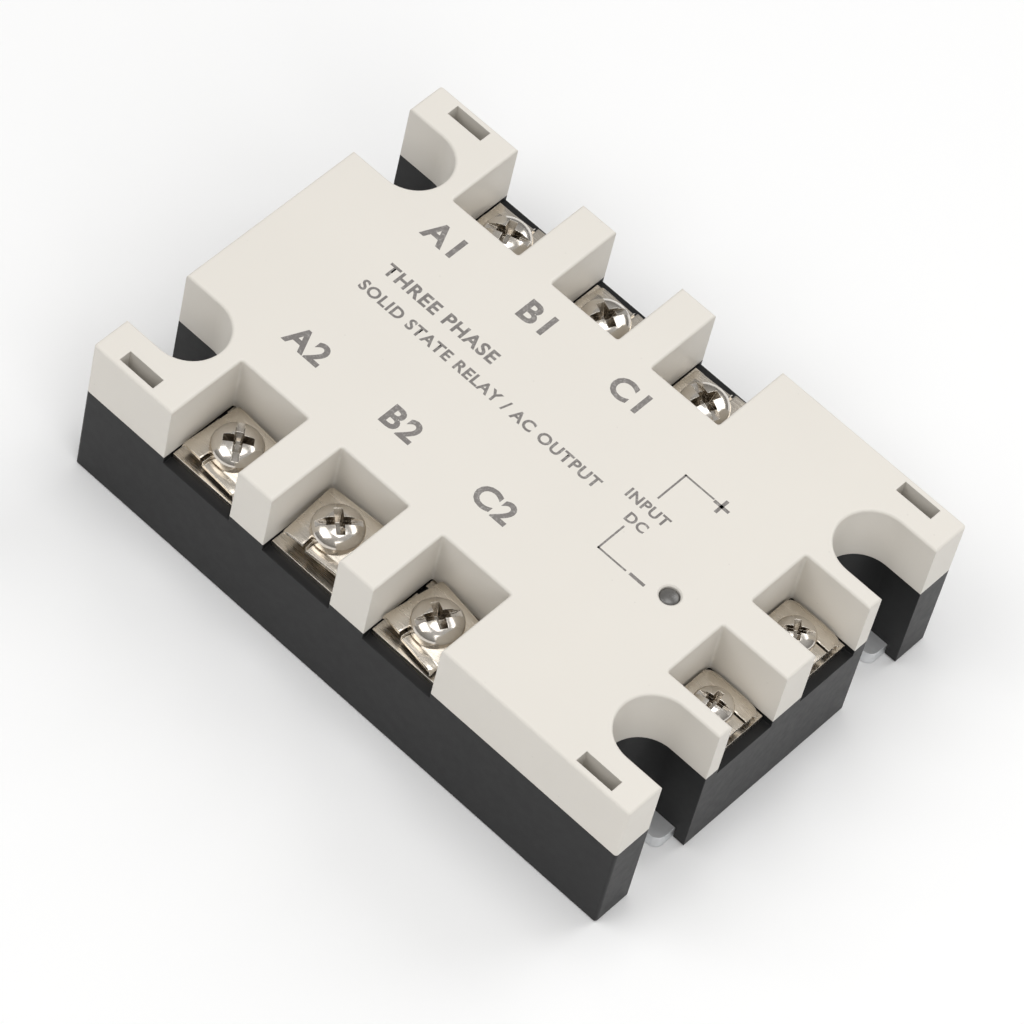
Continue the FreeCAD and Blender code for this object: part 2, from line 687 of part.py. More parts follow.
def base_plate():
    """Aluminium plate with a mounting slot open at the end of each corner."""
    body = new_body("base_plate")
    outline = sketch_on(body, "XY_Plane")
    rectangle(outline, "-dim.plate_half_length", "dim.plate_half_length",
              "-dim.plate_half_width", "dim.plate_half_width")
    pad(body, outline, "dim.plate_thickness")
    dress(body, "Fillet", "Radius", "dim.plate_corner", is_upright)
    straight = sketch_on(body, "XY_Plane", "dim.plate_thickness")
    rounds = sketch_on(body, "XY_Plane", "dim.plate_thickness")
    for sign_x in (-1, 1):
        for sign_y in (-1, 1):
            inner = f"{sign_x} * dim.mount_x"
            outer = f"{sign_x} * (dim.half_length + dim.past)"
            middle = f"{sign_y} * dim.mount_y"
            rectangle(straight, *ordered(inner, outer),
                      f"{middle} - dim.slot_width / 2", f"{middle} + dim.slot_width / 2")
            circle(rounds, inner, middle, "dim.slot_width / 2")
    pocket(body, straight, "dim.plate_thickness + dim.past")
    pocket(body, rounds, "dim.plate_thickness + dim.past")
    dress(body, "Fillet", "Radius", "dim.plate_corner", is_slot_mouth)
    return node(body, "base_plate")


def is_slot_mouth(edge):
    """Upright corner where a mounting slot opens at the plate's end."""
    point = middle_of(edge)
    beside = near(abs(abs(point.y) - size("dim.mount_y")), size("dim.slot_width / 2"))
    return is_upright(edge) and beside and near(abs(point.x), size("dim.plate_half_length"))


# ---------------------------------------------------------------- terminals

def output_bar(name):
    """Nickel-plated bar: a drilled flat, then a leg down to a foot on the ceramic.

    Local frame: origin on the screw's axis at the bar's top, +Y towards the housing's middle."""
    body = new_body(name)
    flat = sketch_on(body, "XY_Plane")
    outer = "-(dim.screw_inset - dim.bar_inset)"
    inner = "dim.screw_y - dim.bar_leg_outer"
    half = "dim.bar_half"
    nick = "(dim.bar_half - dim.bar_nick)"
    near_nick = "dim.bar_nick_place - dim.bar_nick_length / 2"
    far_nick = "dim.bar_nick_place + dim.bar_nick_length / 2"
    right = ((half, outer), (half, near_nick), (nick, near_nick), (nick, far_nick),
             (half, far_nick), (half, inner))
    polygon(flat, list(right) + [(f"-{x}", y) for x, y in reversed(right)])
    pad(body, flat, "dim.bar_thickness", reverse=True)
    hole = sketch_on(body, "XY_Plane")
    circle(hole, "0", "0", "dim.screw_radius + dim.hole_gap")
    pocket(body, hole, "dim.bar_thickness + dim.past")
    leg = sketch_on(body, "YZ_Plane")
    leg_far = f"{inner} + dim.bar_thickness"
    foot_top = "dim.ceramic_top + dim.bar_thickness - dim.bar_top"
    foot_floor = "dim.ceramic_top - dim.bar_top"
    polygon(leg, ((f"{inner} - dim.lap", "0"), (leg_far, "0"), (leg_far, foot_top),
                  (f"{leg_far} + dim.bar_foot", foot_top), (f"{leg_far} + dim.bar_foot", foot_floor),
                  (inner, foot_floor), (inner, "-dim.bar_thickness"),
                  (f"{inner} - dim.lap", "-dim.bar_thickness")))
    pad(body, leg, "dim.bar_leg_width", middle=True)
    return body


def input_bar(name):
    """Input bar: a drilled flat, a tail under the board's edge and a pin up through the board.

    Local frame: origin on the screw's axis at the bar's top, +X towards the housing's end."""
    body = new_body(name)
    flat = sketch_on(body, "XY_Plane")
    outer = "dim.input_screw_inset - dim.bar_inset"
    inner = "dim.input_bay_back - dim.input_screw_x"
    tail = "dim.opening_x - dim.input_screw_x"
    half = "dim.input_bar_half"
    tail_half = "(dim.input_tail_width / 2)"
    upper = ((outer, half), (inner, half), (inner, tail_half), (tail, tail_half))
    polygon(flat, list(upper) + [(x, f"-{y}") for x, y in reversed(upper)])
    pad(body, flat, "dim.bar_thickness", reverse=True)
    hole = sketch_on(body, "XY_Plane")
    circle(hole, "0", "0", "dim.input_screw_radius + dim.hole_gap")
    pocket(body, hole, "dim.bar_thickness + dim.past")
    pin = sketch_on(body, "XY_Plane", "-dim.bar_thickness")
    circle(pin, "dim.input_pin_x - dim.input_screw_x", "0", "dim.input_pin_radius")
    pad(body, pin, "dim.bar_thickness + dim.bar_drop + dim.board_thickness + dim.pin_stand")
    return body


def clamp_washer(name, prefix):
    """Square washer with a slit from one side of its hole to its front edge, local -Y.

    Local frame: origin on the screw's axis at the washer's underside."""
    body = new_body(name)
    half = f"dim.{prefix}washer_side / 2"
    outline = sketch_on(body, "XY_Plane")
    rectangle(outline, f"-{half}", half, f"-{half}", half)
    pad(body, outline, f"dim.{prefix}washer_thickness")
    dress(body, "Fillet", "Radius", "dim.washer_corner", is_upright)
    hole = sketch_on(body, "XY_Plane", f"dim.{prefix}washer_thickness")
    circle(hole, "0", "0", f"dim.{prefix}screw_radius + dim.hole_gap")
    pocket(body, hole, f"dim.{prefix}washer_thickness + dim.past")
    slit = sketch_on(body, "XY_Plane", f"dim.{prefix}washer_thickness")
    place_word = f"dim.{prefix}washer_slit_place"
    rectangle(slit, f"{place_word} - dim.washer_slit / 2", f"{place_word} + dim.washer_slit / 2",
              f"-{half} - dim.past", "0")
    pocket(body, slit, f"dim.{prefix}washer_thickness + dim.past")
    return body


def terminal_screw(name, prefix):
    """Pan-head screw with a driver slot across a cross recess.

    Local frame: origin on the axis at the head's underside."""
    body = new_body(name)
    shank, head = f"dim.{prefix}screw_radius", f"dim.{prefix}head_radius"
    length, rise = f"dim.{prefix}screw_length", f"dim.{prefix}head_height"
    profile = sketch_on(body, "XZ_Plane")
    polygon(profile, (("0", f"-{length}"), (f"(1 - dim.tip_bevel) * {shank}", f"-{length}"),
                      (shank, f"-{length} + dim.tip_bevel * {shank}"), (shank, "0"), (head, "0"),
                      (head, rise), ("0", rise)))
    revolve(body, profile)
    dress(body, "Fillet", "Radius", f"dim.{prefix}head_round",
          lambda edge: near(edge.BoundBox.ZMin, size(rise)) and near(edge.BoundBox.ZMax, size(rise))
          and isinstance(edge.Curve, Part.Circle))
    slot = sketch_on(body, "XY_Plane", rise)
    half = "dim.driver_slot / 2"
    rectangle(slot, f"-{head} - dim.past", f"{head} + dim.past", f"-{half}", half)
    pocket(body, slot, "dim.driver_depth")
    recess = sketch_on(body, "XY_Plane", rise)
    reach = f"dim.cross_reach * {head}"
    quarter = ((reach, half), (half, half), (half, reach))
    corners = list(quarter)
    corners += [(f"-({x})", y) for x, y in reversed(quarter)]
    corners += [(f"-({x})", f"-({y})") for x, y in quarter]
    corners += [(x, f"-({y})") for x, y in reversed(quarter)]
    polygon(recess, corners)
    pocket(body, recess, "dim.driver_depth + dim.cross_depth")
    return body


def square_nut(name, prefix, x, y):
    """Square nut resting on its pocket's floor."""
    side = f"dim.{prefix}nut_side"
    block = box(f"{name}_block", (x, y), (side, side), f"dim.{prefix}nut_floor",
                f"dim.{prefix}nut_thickness")
    bore = rod(f"{name}_bore", (x, y), f"dim.{prefix}screw_radius + dim.thread_gap",
               f"dim.{prefix}nut_floor - dim.past", f"dim.{prefix}nut_thickness + 2 * dim.past")
    return cut(name, block, bore)


def output_terminals():
    """Bars, washers and screws of the six outputs; the nuts are one group."""
    nuts = []
    for phase in PHASES:
        for row, side, turn in ROWS:
            mark = phase + row
            x, y = phase_x(phase), f"{side} * dim.screw_y"
            backed_out = f"{TURNS_OUT.get(mark, 0)} * dim.thread_pitch"
            node(place(output_bar(f"bar_{mark}"), x, y, "dim.bar_top", turn), f"terminal_bar_{mark}")
            washer = clamp_washer(f"washer_{mark}", "")
            node(place(washer, x, y, f"dim.bar_top + {backed_out}", turn), f"clamp_washer_{mark}")
            screw = terminal_screw(f"screw_{mark}", "")
            node(place(screw, x, y, f"dim.head_seat + {backed_out}", turn), f"terminal_screw_{mark}")
            nuts.append(square_nut(f"nut_{mark}", "", x, y))
    node(group("output_nut_group", nuts), "output_nuts")


def input_terminals():
    """Bars, washers and screws of the two inputs; the nuts are one group."""
    nuts = []
    for name, side in INPUTS:
        x, y = "dim.input_screw_x", f"{side} * dim.input_y"
        node(place(input_bar(f"bar_{name}"), x, y, "dim.bar_top"), f"input_bar_{name}")
        node(place(clamp_washer(f"washer_{name}", "input_"), x, y, "dim.bar_top", 90),
             f"input_washer_{name}")
        node(place(terminal_screw(f"screw_{name}", "input_"), x, y, "dim.input_head_seat"),
             f"input_screw_{name}")
        nuts.append(square_nut(f"nut_{name}", "input_", x, y))
    node(group("input_nut_group", nuts), "input_nuts")


# ---------------------------------------------------------------- power stage

def power_stage():
    """Ceramics, thyristor chips, straps and gate pins on the plate, one set to a phase."""
    inside = []
    for phase in PHASES:
        x = phase_x(phase)
        ceramic = box(f"ceramic_{phase}", (x, "0"), ("dim.ceramic_length", "dim.ceramic_width"),
                      "dim.plate_thickness", "dim.ceramic_thickness")
        inside.append(node(ceramic, f"ceramic_substrate_{phase}"))
        chips, straps, pins = [], [], []
        for number, side in enumerate((-1, 1)):
            mark = f"{phase}{number}"
            y = f"{side} * dim.chip_offset"
            far = f"{side} * (dim.chip_offset + dim.strap_reach)"
            chips.append(box(f"chip_{mark}", (x, y), ("dim.chip_side", "dim.chip_side"),
                             "dim.ceramic_top", "dim.chip_thickness"))
            across = f"(({y}) + ({far})) / 2"
            straps.append(join(f"strap_{mark}", [
                box(f"strap_flat_{mark}", (x, across),
                    ("dim.strap_width", "dim.strap_reach + dim.strap_thickness"),
                    "dim.chip_top", "dim.strap_thickness"),
                box(f"strap_foot_{mark}", (x, far), ("dim.strap_width", "dim.strap_thickness"),
                    "dim.ceramic_top", "dim.chip_thickness + dim.strap_thickness")]))
            pins.append(rod(f"gate_pin_{mark}",
                            (f"{x} + dim.gate_pin_along", f"{side} * dim.gate_pin_across"),
                            "dim.gate_pin_radius", "dim.ceramic_top",
                            "dim.board_top + dim.pin_stand - dim.ceramic_top"))
        for pieces, label in ((chips, "thyristor_chips"), (straps, "chip_straps"),
                              (pins, "gate_pins")):
            inside.append(node(group(f"{label}_group_{phase}", pieces), f"{label}_{phase}"))
    return inside


def potting(inside):
    """Resin over the power stage, moulded round everything that stands in it."""
    block = new_body("resin")
    outline = sketch_on(block, "XY_Plane", "dim.plate_thickness")
    cavity_outline(outline)
    pad(block, outline, "dim.potting_height")
    bars = [piece for piece in nodes if piece.Label.startswith("terminal_bar_")]
    filled = join("resin_inside", inside + bars)
    node(cut("resin_fill", block, filled), "potting_resin")


# ---------------------------------------------------------------- control board

def control_board():
    """Board on the base's rim, drilled for the gate pins and the input pins."""
    body = new_body("control_board")
    outline = sketch_on(body, "XY_Plane", "dim.parting_height")
    rectangle(outline, "-dim.board_x", "dim.board_x", "-dim.board_y", "dim.board_y")
    pad(body, outline, "dim.board_thickness")
    holes = sketch_on(body, "XY_Plane", "dim.board_top")
    for phase in PHASES:
        for side in (-1, 1):
            circle(holes, f"{phase_x(phase)} + dim.gate_pin_along", f"{side} * dim.gate_pin_across",
                   "dim.gate_pin_radius + dim.board_hole_gap")
    for _, side in INPUTS:
        circle(holes, "dim.input_pin_x", f"{side} * dim.input_y",
               "dim.input_pin_radius + dim.board_hole_gap")
    pocket(body, holes, "dim.board_thickness + dim.past")
    return node(body, "control_board")


def coupler(phase):
    """Opto-coupler: a moulded body on six flat leads."""
    x = phase_x(phase)
    stand = "dim.board_top + dim.coupler_stand"
    pieces = [box(f"coupler_body_{phase}", (x, "0"), ("dim.coupler_length", "dim.coupler_width"),
                  stand, "dim.coupler_height")]
    for column in (-1, 0, 1):
        for side in (-1, 1):
            centre = (f"{x} + {column} * dim.lead_pitch",
                      f"{side} * (dim.coupler_width / 2 + dim.lead_width / 2)")
            pieces.append(box(f"coupler_lead_{phase}", centre, ("dim.lead_width", "dim.lead_width"),
                              "dim.board_top", "dim.coupler_stand + dim.coupler_height / 2"))
    return node(join(f"coupler_{phase}", pieces), f"opto_coupler_{phase}")


def axial(name, centre, radius, length, stand, along):
    """Axial component: a lying body whose two wires turn down to the board."""
    height = f"dim.board_top + {stand} + {radius}"
    reach = f"({length} + 2 * dim.wire_bend)"
    pieces = [lying_rod(f"{name}_body", centre, radius, length, height, along),
              lying_rod(f"{name}_wire", centre, "dim.wire_radius", reach, height, along)]
    x, y = centre
    for side in (-1, 1):
        offset = f"{side} * ({reach} / 2 - dim.wire_radius)"
        foot = (f"{x} + {offset}", y) if along == "x" else (x, f"{y} + {offset}")
        pieces.append(box(f"{name}_foot", foot, ("dim.foot_side", "dim.foot_side"),
                          "dim.board_top", f"{stand} + {radius}"))
    return join(name, pieces)


def board_parts():
    """Snubbers, gate resistors and the input circuit on the board."""
    gates = []
    for phase in PHASES:
        x = phase_x(phase)
        coupler(phase)
        capacitor = box(f"capacitor_{phase}", (x, "dim.snubber_offset"),
                        ("dim.capacitor_length", "dim.capacitor_width"),
                        "dim.board_top", "dim.capacitor_height")
        node(capacitor, f"snubber_capacitor_{phase}")
        node(axial(f"resistor_{phase}", (x, "-dim.snubber_offset"), "dim.resistor_radius",
                   "dim.resistor_length", "dim.small_stand", "x"), f"snubber_resistor_{phase}")
        for side in (-1, 1):
            centre = (f"{x} + dim.gate_resistor_along", f"{side} * dim.gate_resistor_across")
            gates.append(axial(f"gate_resistor_{phase}", centre, "dim.small_radius",
                               "dim.small_length", "dim.small_stand", "y"))
    node(group("gate_resistor_group", gates), "gate_resistors")
    node(axial("diode", ("dim.input_parts_along", "dim.input_parts_across"), "dim.small_radius",
               "dim.small_length", "dim.small_stand", "y"), "reverse_diode")
    current_limiter()


def current_limiter():
    """Small transistor: a round body with one flat face, on three leads."""
    x, y = "dim.input_parts_along", "-dim.input_parts_across"
    stand = "dim.board_top + dim.transistor_stand"
    full = rod("limiter_round", (x, y), "dim.transistor_radius", stand, "dim.transistor_height")
    side = "(2 * dim.transistor_radius)"
    flat = box("limiter_flat", (f"{x} + dim.transistor_flat + {side} / 2", y), (side, side),
               f"{stand} - dim.past", "dim.transistor_height + 2 * dim.past")
    pieces = [cut("limiter_body", full, flat)]
    for column in (-1, 0, 1):
        pieces.append(box("limiter_lead", (x, f"{y} + {column} * dim.fine_pitch"),
                          ("dim.lead_width", "dim.lead_width"), "dim.board_top",
                          "dim.transistor_stand + dim.lead_sunk"))
    node(join("limiter", pieces), "current_limiter")


def lamp():
    """Indicator lamp with its leads, and the tube that holds it up to the cover."""
    body = new_body("led")
    profile = sketch_on(body, "XZ_Plane")
    polygon(profile, (("0", "0"), ("dim.led_flange_radius", "0"),
                      ("dim.led_flange_radius", "dim.led_flange_height"),
                      ("dim.led_radius", "dim.led_flange_height"),
                      ("dim.led_radius", "dim.led_height"), ("0", "dim.led_height")))
    revolve(body, profile)
    dress(body, "Fillet", "Radius", "dim.led_dome * dim.led_radius",
          lambda edge: near(edge.BoundBox.ZMin, size("dim.led_height")))
    leads = sketch_on(body, "XY_Plane")
    for side in (-1, 1):
        middle = f"{side} * dim.fine_pitch / 2"
        rectangle(leads, f"{middle} - dim.lead_width / 2", f"{middle} + dim.lead_width / 2",
                  "-dim.lead_width / 2", "dim.lead_width / 2")
    pad(body, leads, "dim.led_floor - dim.board_top", reverse=True)
    node(place(body, "dim.led_x", "dim.led_across", "dim.led_floor"), "led_lamp")
    centre = ("dim.led_x", "dim.led_across")
    rise = "dim.led_floor - dim.board_top"
    tube = rod("spacer_tube", centre, "dim.led_flange_radius", "dim.board_top", rise)
    bore = rod("spacer_bore", centre, "dim.led_flange_radius - dim.spacer_wall",
               "dim.board_top - dim.past", f"{rise} + 2 * dim.past")
    node(cut("spacer", tube, bore), "led_spacer")


# ---------------------------------------------------------------- build and write

def check_and_write():
    """Refuse a failed or unsound piece, then write one file to a node."""
    doc.recompute()
    for item in doc.Objects:
        if "Invalid" in item.State or "Error" in item.State:
            raise RuntimeError(f"{item.Label} failed: {item.State}")
    os.makedirs("parts", exist_ok=True)
    for piece in nodes:
        shape = piece.Shape
        if shape.isNull() or not shape.isValid() or not shape.Solids:
            raise RuntimeError(f"{piece.Label} has no sound solid")
        shape.exportStep(os.path.join("parts", f"{piece.Label}.step"))
        print(f"{piece.Label}: {len(shape.Solids)} solids, {shape.Volume:.1f} mm3")


fill_sheet()
base_plate()
base_housing()
top_cover()
output_terminals()
input_terminals()
potting(power_stage())
control_board()
board_parts()
lamp()
check_and_write()
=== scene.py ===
"""Three-phase solid state relay: finishes, clamp screws and washers, marks, lamp and studio.

Metres. +X points to the input terminals, +Y to the row marked 1, +Z up through the cover.
"""

import math

import bmesh
import bpy
from mathutils import Matrix, Quaternion, Vector


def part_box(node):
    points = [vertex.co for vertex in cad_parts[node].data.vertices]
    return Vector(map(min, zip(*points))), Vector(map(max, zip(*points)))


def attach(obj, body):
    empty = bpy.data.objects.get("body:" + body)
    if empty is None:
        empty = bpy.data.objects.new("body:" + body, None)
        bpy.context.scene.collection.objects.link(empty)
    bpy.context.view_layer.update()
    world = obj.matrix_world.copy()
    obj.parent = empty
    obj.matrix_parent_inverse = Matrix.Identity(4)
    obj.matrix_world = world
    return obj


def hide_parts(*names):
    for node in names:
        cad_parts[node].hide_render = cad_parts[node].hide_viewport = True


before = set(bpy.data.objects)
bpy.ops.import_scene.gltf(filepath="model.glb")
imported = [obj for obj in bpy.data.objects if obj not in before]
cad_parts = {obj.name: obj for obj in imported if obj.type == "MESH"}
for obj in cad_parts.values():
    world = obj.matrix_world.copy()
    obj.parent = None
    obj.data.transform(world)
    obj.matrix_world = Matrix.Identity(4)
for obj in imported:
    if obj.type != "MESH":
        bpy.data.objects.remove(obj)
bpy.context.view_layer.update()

bl_info = {
    "name": "Solid State Relay",
    "version": (1, 0, 0),
    "blender": (4, 5, 0),
    "location": "View3D > Sidebar > Relay",
    "description": "Finishes, clamp screws, washers, marks and studio of a three-phase relay",
    "category": "Object",
}

MM = 0.001
COLLECTION = "relay_pieces"
OUTPUTS = ("a1", "a2", "b1", "b2", "c1", "c2")
INPUTS = ("plus", "minus")

# turn of each washer about its screw, and of each screw's slot from +X, degrees
WASHER_TURN = {"a1": 3.0, "a2": -3.5, "b1": -2.0, "b2": 4.0, "c1": 2.5, "c2": -8.0,
               "plus": 0.0, "minus": 0.0}
SLOT_TURN = {"a1": 20.0, "a2": -54.0, "b1": 66.0, "b2": 49.0, "c1": -18.0, "c2": 61.0,
             "plus": 38.0, "minus": 8.0}

# text, height of its capitals, left end, middle of its height, all in millimetres
MARKS = (
    ("A1", 4.2, -35.8, 16.0),
    ("B1", 4.2, -16.4, 16.0),
    ("C1", 4.2, 1.3, 16.2),
    ("A2", 4.2, -35.8, -13.1),
    ("B2", 4.2, -16.6, -12.8),
    ("C2", 4.2, 1.2, -12.8),
    ("THREE PHASE", 2.5, -34.5, 5.75),
    ("SOLID STATE RELAY / AC OUTPUT", 2.1, -35.0, 0.95),
    ("INPUT", 1.9, 15.8, 3.5),
    ("DC", 1.9, 18.5, 0.3),
)
# corners of the two brackets that lead from INPUT to its signs, and the signs' middles
BRACKETS = (
    ((19.5, 5.9), (19.5, 11.85), (24.9, 11.85)),
    ((19.5, -1.6), (19.5, -6.95), (24.7, -6.95)),
)
SIGN_MIDDLES = (("plus", 26.6, 11.7), ("minus", 26.9, -6.85))
SIGN_REACH = 1.15 * MM
SIGN_STROKE = 0.55 * MM
BRACKET_STROKE = 0.32 * MM
PRINT_RAISE = 0.004 * MM

# the two kinds of clamp screw and washer: outputs first, then inputs
WASHER_BORE = (2.2 * MM, 1.7 * MM)
WASHER_CORNER = (0.7 * MM, 2.2 * MM)
SLIT_PLACE = (-1.95 * MM, 1.3 * MM)
SLIT = 0.5 * MM
SLIT_END = -0.2 * MM
INPUT_STEP = 0.25
WASHER_FALL = 0.95
WASHER_CURL = 0.05 * MM
WASHER_CELLS = 64
SHANK_RADIUS = (1.95 * MM, 1.45 * MM)
PITCH = (0.7 * MM, 0.5 * MM)
HEAD_SIZE = (1.0, 0.8)
THREAD_SEGMENTS = 22

# the head's upright wall, as a share of its height, and how its round is squared off
HEAD_WALL = 0.42
HEAD_ROUND = (0.7, 1.25)
HEAD_STEPS = 14
# the cross recess opens towards its top and closes towards its bottom
RECESS_TOP, RECESS_BOTTOM = 1.35, 0.45

# lamp: body and rounded tip, flange and its thickness, legs
LAMP_RADIUS, LAMP_TIP = 1.5 * MM, 0.45 * MM
FLANGE_RADIUS, FLANGE_RIM = 1.9 * MM, 0.8 * MM
LEG_PLACE, LEG_SIDE = 1.27 * MM, 0.5 * MM
LAMP_STEPS = 12

# soft lights: name, place and side in metres, share of the light power
LIGHTS = (
    ("key_light", (-0.35, -0.45, 0.75), 0.6, 2.45),
    ("fill_light", (0.55, -0.35, 0.5), 0.5, 1.6),
    ("back_light", (0.15, 0.6, 0.55), 0.5, 1.8),
    ("top_light", (0.0, 0.05, 0.8), 0.35, 1.3),
)
# strength of the air's light at its lower and upper end
SKY_LOW, SKY_HIGH = 0.21, 0.5
CAMERA_PLACE = (0.25052, -0.42224, 0.69949)
CAMERA_TURN = (0.87771787, 0.3016064, 0.04135463, 0.3700469)


def colour(name, default, text):
    """A colour property for the panel."""
    return bpy.props.FloatVectorProperty(name=name, description=text, default=default,
                                         size=3, min=0.0, max=1.0, subtype="COLOR")


def length(name, default, text):
    """A length property for the panel, in metres."""
    return bpy.props.FloatProperty(name=name, description=text, default=default,
                                   min=0.0, unit="LENGTH", subtype="DISTANCE")


def share(name, default, text):
    """A property for the panel that runs from 0 to 1."""
    return bpy.props.FloatProperty(name=name, description=text, default=default,
                                   min=0.0, max=1.0, subtype="FACTOR")


class RelayFinishes(bpy.types.PropertyGroup):
    """Colours and roughness of the relay's own materials."""
    cover: colour("Cover", (0.76, 0.725, 0.665), "Cream moulding of the cover")
    base: colour("Base", (0.0125, 0.0125, 0.013), "Black moulding of the base")
    nickel: colour("Nickel", (0.70, 0.645, 0.565), "Nickel plating of bars and washers")
    screw: colour("Screw", (0.74, 0.70, 0.645), "Bright nickel plating of the screws")
    plate: colour("Plate", (0.86, 0.87, 0.88), "Aluminium plate")
    print_ink: colour("Ink", (0.20, 0.185, 0.175), "Grey ink of the marks")
    lens: colour("Lens", (0.115, 0.11, 0.103), "Smoky clear resin of the lamp")
    cover_roughness: share("Cover roughness", 0.46, "Roughness of the cream moulding")
    base_roughness: share("Base roughness", 0.42, "Roughness of the black moulding")


class RelayScrews(bpy.types.PropertyGroup):
    """Sizes of the clamp screws and washers that the frame does not state."""
    slot_width: length("Slot width", 1.1 * MM, "Straight driver slot of an output screw")
    slot_depth: length("Slot depth", 0.95 * MM, "Straight driver slot of an output screw")
    wing_width: length("Wing width", 1.35 * MM, "Wing of the cross recess")
    wing_span: length("Wing span", 4.7 * MM, "Cross recess at the top of the head")
    wing_depth: length("Wing depth", 2.1 * MM, "Cross recess, from the top of the head")
    thread_depth: length("Thread depth", 0.36 * MM, "Depth of an output screw's thread")
    washer_gauge: length("Washer gauge", 0.62 * MM, "Strip an output washer is pressed from")
    washer_step: share("Washer step", 0.72, "Drop past a washer's slit, of the room under its strip")


class RelayStudio(bpy.types.PropertyGroup):
    """Floor, lights and camera."""
    floor_colour: colour("Floor", (0.94, 0.94, 0.94), "Plain floor under the relay")
    light_power: bpy.props.FloatProperty(name="Light", description="Scale of all the soft lights",
                                         default=0.98, min=0.0, unit="POWER")
    lens_length: bpy.props.FloatProperty(name="Lens", description="Focal length of the camera",
                                         default=203.876, min=1.0, unit="CAMERA")


# ---------------------------------------------------------------- finishes

class Finish:
    """One node material: a Principled shader with helpers that build its pattern."""

    def __init__(self, name, base, roughness, metallic=0.0):
        self.material = bpy.data.materials.new(name)
        self.material.use_nodes = True
        self.tree = self.material.node_tree
        self.shader = self.tree.nodes["Principled BSDF"]
        self.shader.inputs["Base Color"].default_value = (*base, 1.0)
        self.shader.inputs["Roughness"].default_value = roughness
        self.shader.inputs["Metallic"].default_value = metallic
        self.material.diffuse_color = (*base, 1.0)
        self.place = self.node("ShaderNodeTexCoord").outputs["Object"]
        self.normal = None

    def node(self, kind, **settings):
        """Add a node and set its fields."""
        made = self.tree.nodes.new(kind)
        for field, value in settings.items():
            setattr(made, field, value)
        return made

    def join(self, source, target):
        """Link an output to an input."""
        self.tree.links.new(source, target)

    def stretched(self, scale):
        """The place on the piece, scaled by a different amount along each axis."""
        mapping = self.node("ShaderNodeMapping")
        mapping.inputs["Scale"].default_value = scale
        self.join(self.place, mapping.inputs["Vector"])
        return mapping.outputs["Vector"]

    def noise(self, scale, detail=3.0, rough=0.55, where=None):
        """Noise over the piece, 0 to 1."""
        made = self.node("ShaderNodeTexNoise")
        made.inputs["Scale"].default_value = scale
        made.inputs["Detail"].default_value = detail
        made.inputs["Roughness"].default_value = rough
        self.join(where or self.place, made.inputs["Vector"])
        return made.outputs["Fac"]

    def specks(self, scale, size):
        """Small scattered specks: 1 inside a speck and 0 outside."""
        made = self.node("ShaderNodeTexVoronoi")
        made.inputs["Scale"].default_value = scale
        self.join(self.place, made.inputs["Vector"])
        return self.remap(made.outputs["Distance"], (size, size * 0.5), (0.0, 1.0))

    def remap(self, value, source, target):
        """Carry a value from one range to another, held within it."""
        made = self.node("ShaderNodeMapRange")
        for socket, number in zip(("From Min", "From Max", "To Min", "To Max"),
                                  (*source, *target)):
            made.inputs[socket].default_value = number
        self.join(value, made.inputs["Value"])
        return made.outputs["Result"]

    def times(self, first, second):
        """Product of two values."""
        made = self.node("ShaderNodeMath", operation="MULTIPLY")
        self.join(first, made.inputs[0])
        self.join(second, made.inputs[1])
        return made.outputs[0]

    def edges(self, radius):
        """1 on a sharp outer edge and 0 on a flat face."""
        bevel = self.node("ShaderNodeBevel", samples=6)
        bevel.inputs["Radius"].default_value = radius
        flat = self.node("ShaderNodeNewGeometry").outputs["True Normal"]
        dot = self.node("ShaderNodeVectorMath", operation="DOT_PRODUCT")
        self.join(bevel.outputs["Normal"], dot.inputs[0])
        self.join(flat, dot.inputs[1])
        return self.remap(dot.outputs["Value"], (0.985, 0.86), (0.0, 1.0))

    def hollows(self, reach):
        """1 deep in a corner and 0 in the open."""
        made = self.node("ShaderNodeAmbientOcclusion", samples=6, only_local=True)
        made.inputs["Distance"].default_value = reach
        return self.remap(made.outputs["AO"], (0.9, 0.35), (0.0, 1.0))

    def tint(self, amount, towards):
        """Mix the colour so far towards another by an amount from the pattern."""
        mix = self.node("ShaderNodeMix", data_type="RGBA")
        socket = self.shader.inputs["Base Color"]
        if socket.is_linked:
            self.join(socket.links[0].from_socket, mix.inputs[6])
        else:
            mix.inputs[6].default_value = socket.default_value
        mix.inputs[7].default_value = (*towards, 1.0)
        self.join(amount, mix.inputs[0])
        self.join(mix.outputs[2], socket)

    def roughen(self, value, low, high):
        """Let the roughness run from low to high with a pattern."""
        self.join(self.remap(value, (0.3, 0.7), (low, high)), self.shader.inputs["Roughness"])

    def bump(self, height, distance, strength=1.0):
        """Raise the surface by a pattern, on top of any relief so far."""
        made = self.node("ShaderNodeBump")
        made.inputs["Distance"].default_value = distance
        made.inputs["Strength"].default_value = strength
        self.join(height, made.inputs["Height"])
        if self.normal:
            self.join(self.normal, made.inputs["Normal"])
        self.normal = made.outputs["Normal"]
        self.join(self.normal, self.shader.inputs["Normal"])

    def round_edges(self, radius):
        """Shade sharp edges as if they had a small round."""
        bevel = self.node("ShaderNodeBevel", samples=6)
        bevel.inputs["Radius"].default_value = radius
        self.normal = bevel.outputs["Normal"]
        self.join(self.normal, self.shader.inputs["Normal"])

    def coat(self, weight, roughness):
        """A clear layer over the whole finish."""
        self.shader.inputs["Coat Weight"].default_value = weight
        self.shader.inputs["Coat Roughness"].default_value = roughness


def shade(base, factor):
    """A colour made lighter or darker."""
    return tuple(min(1.0, channel * factor) for channel in base)


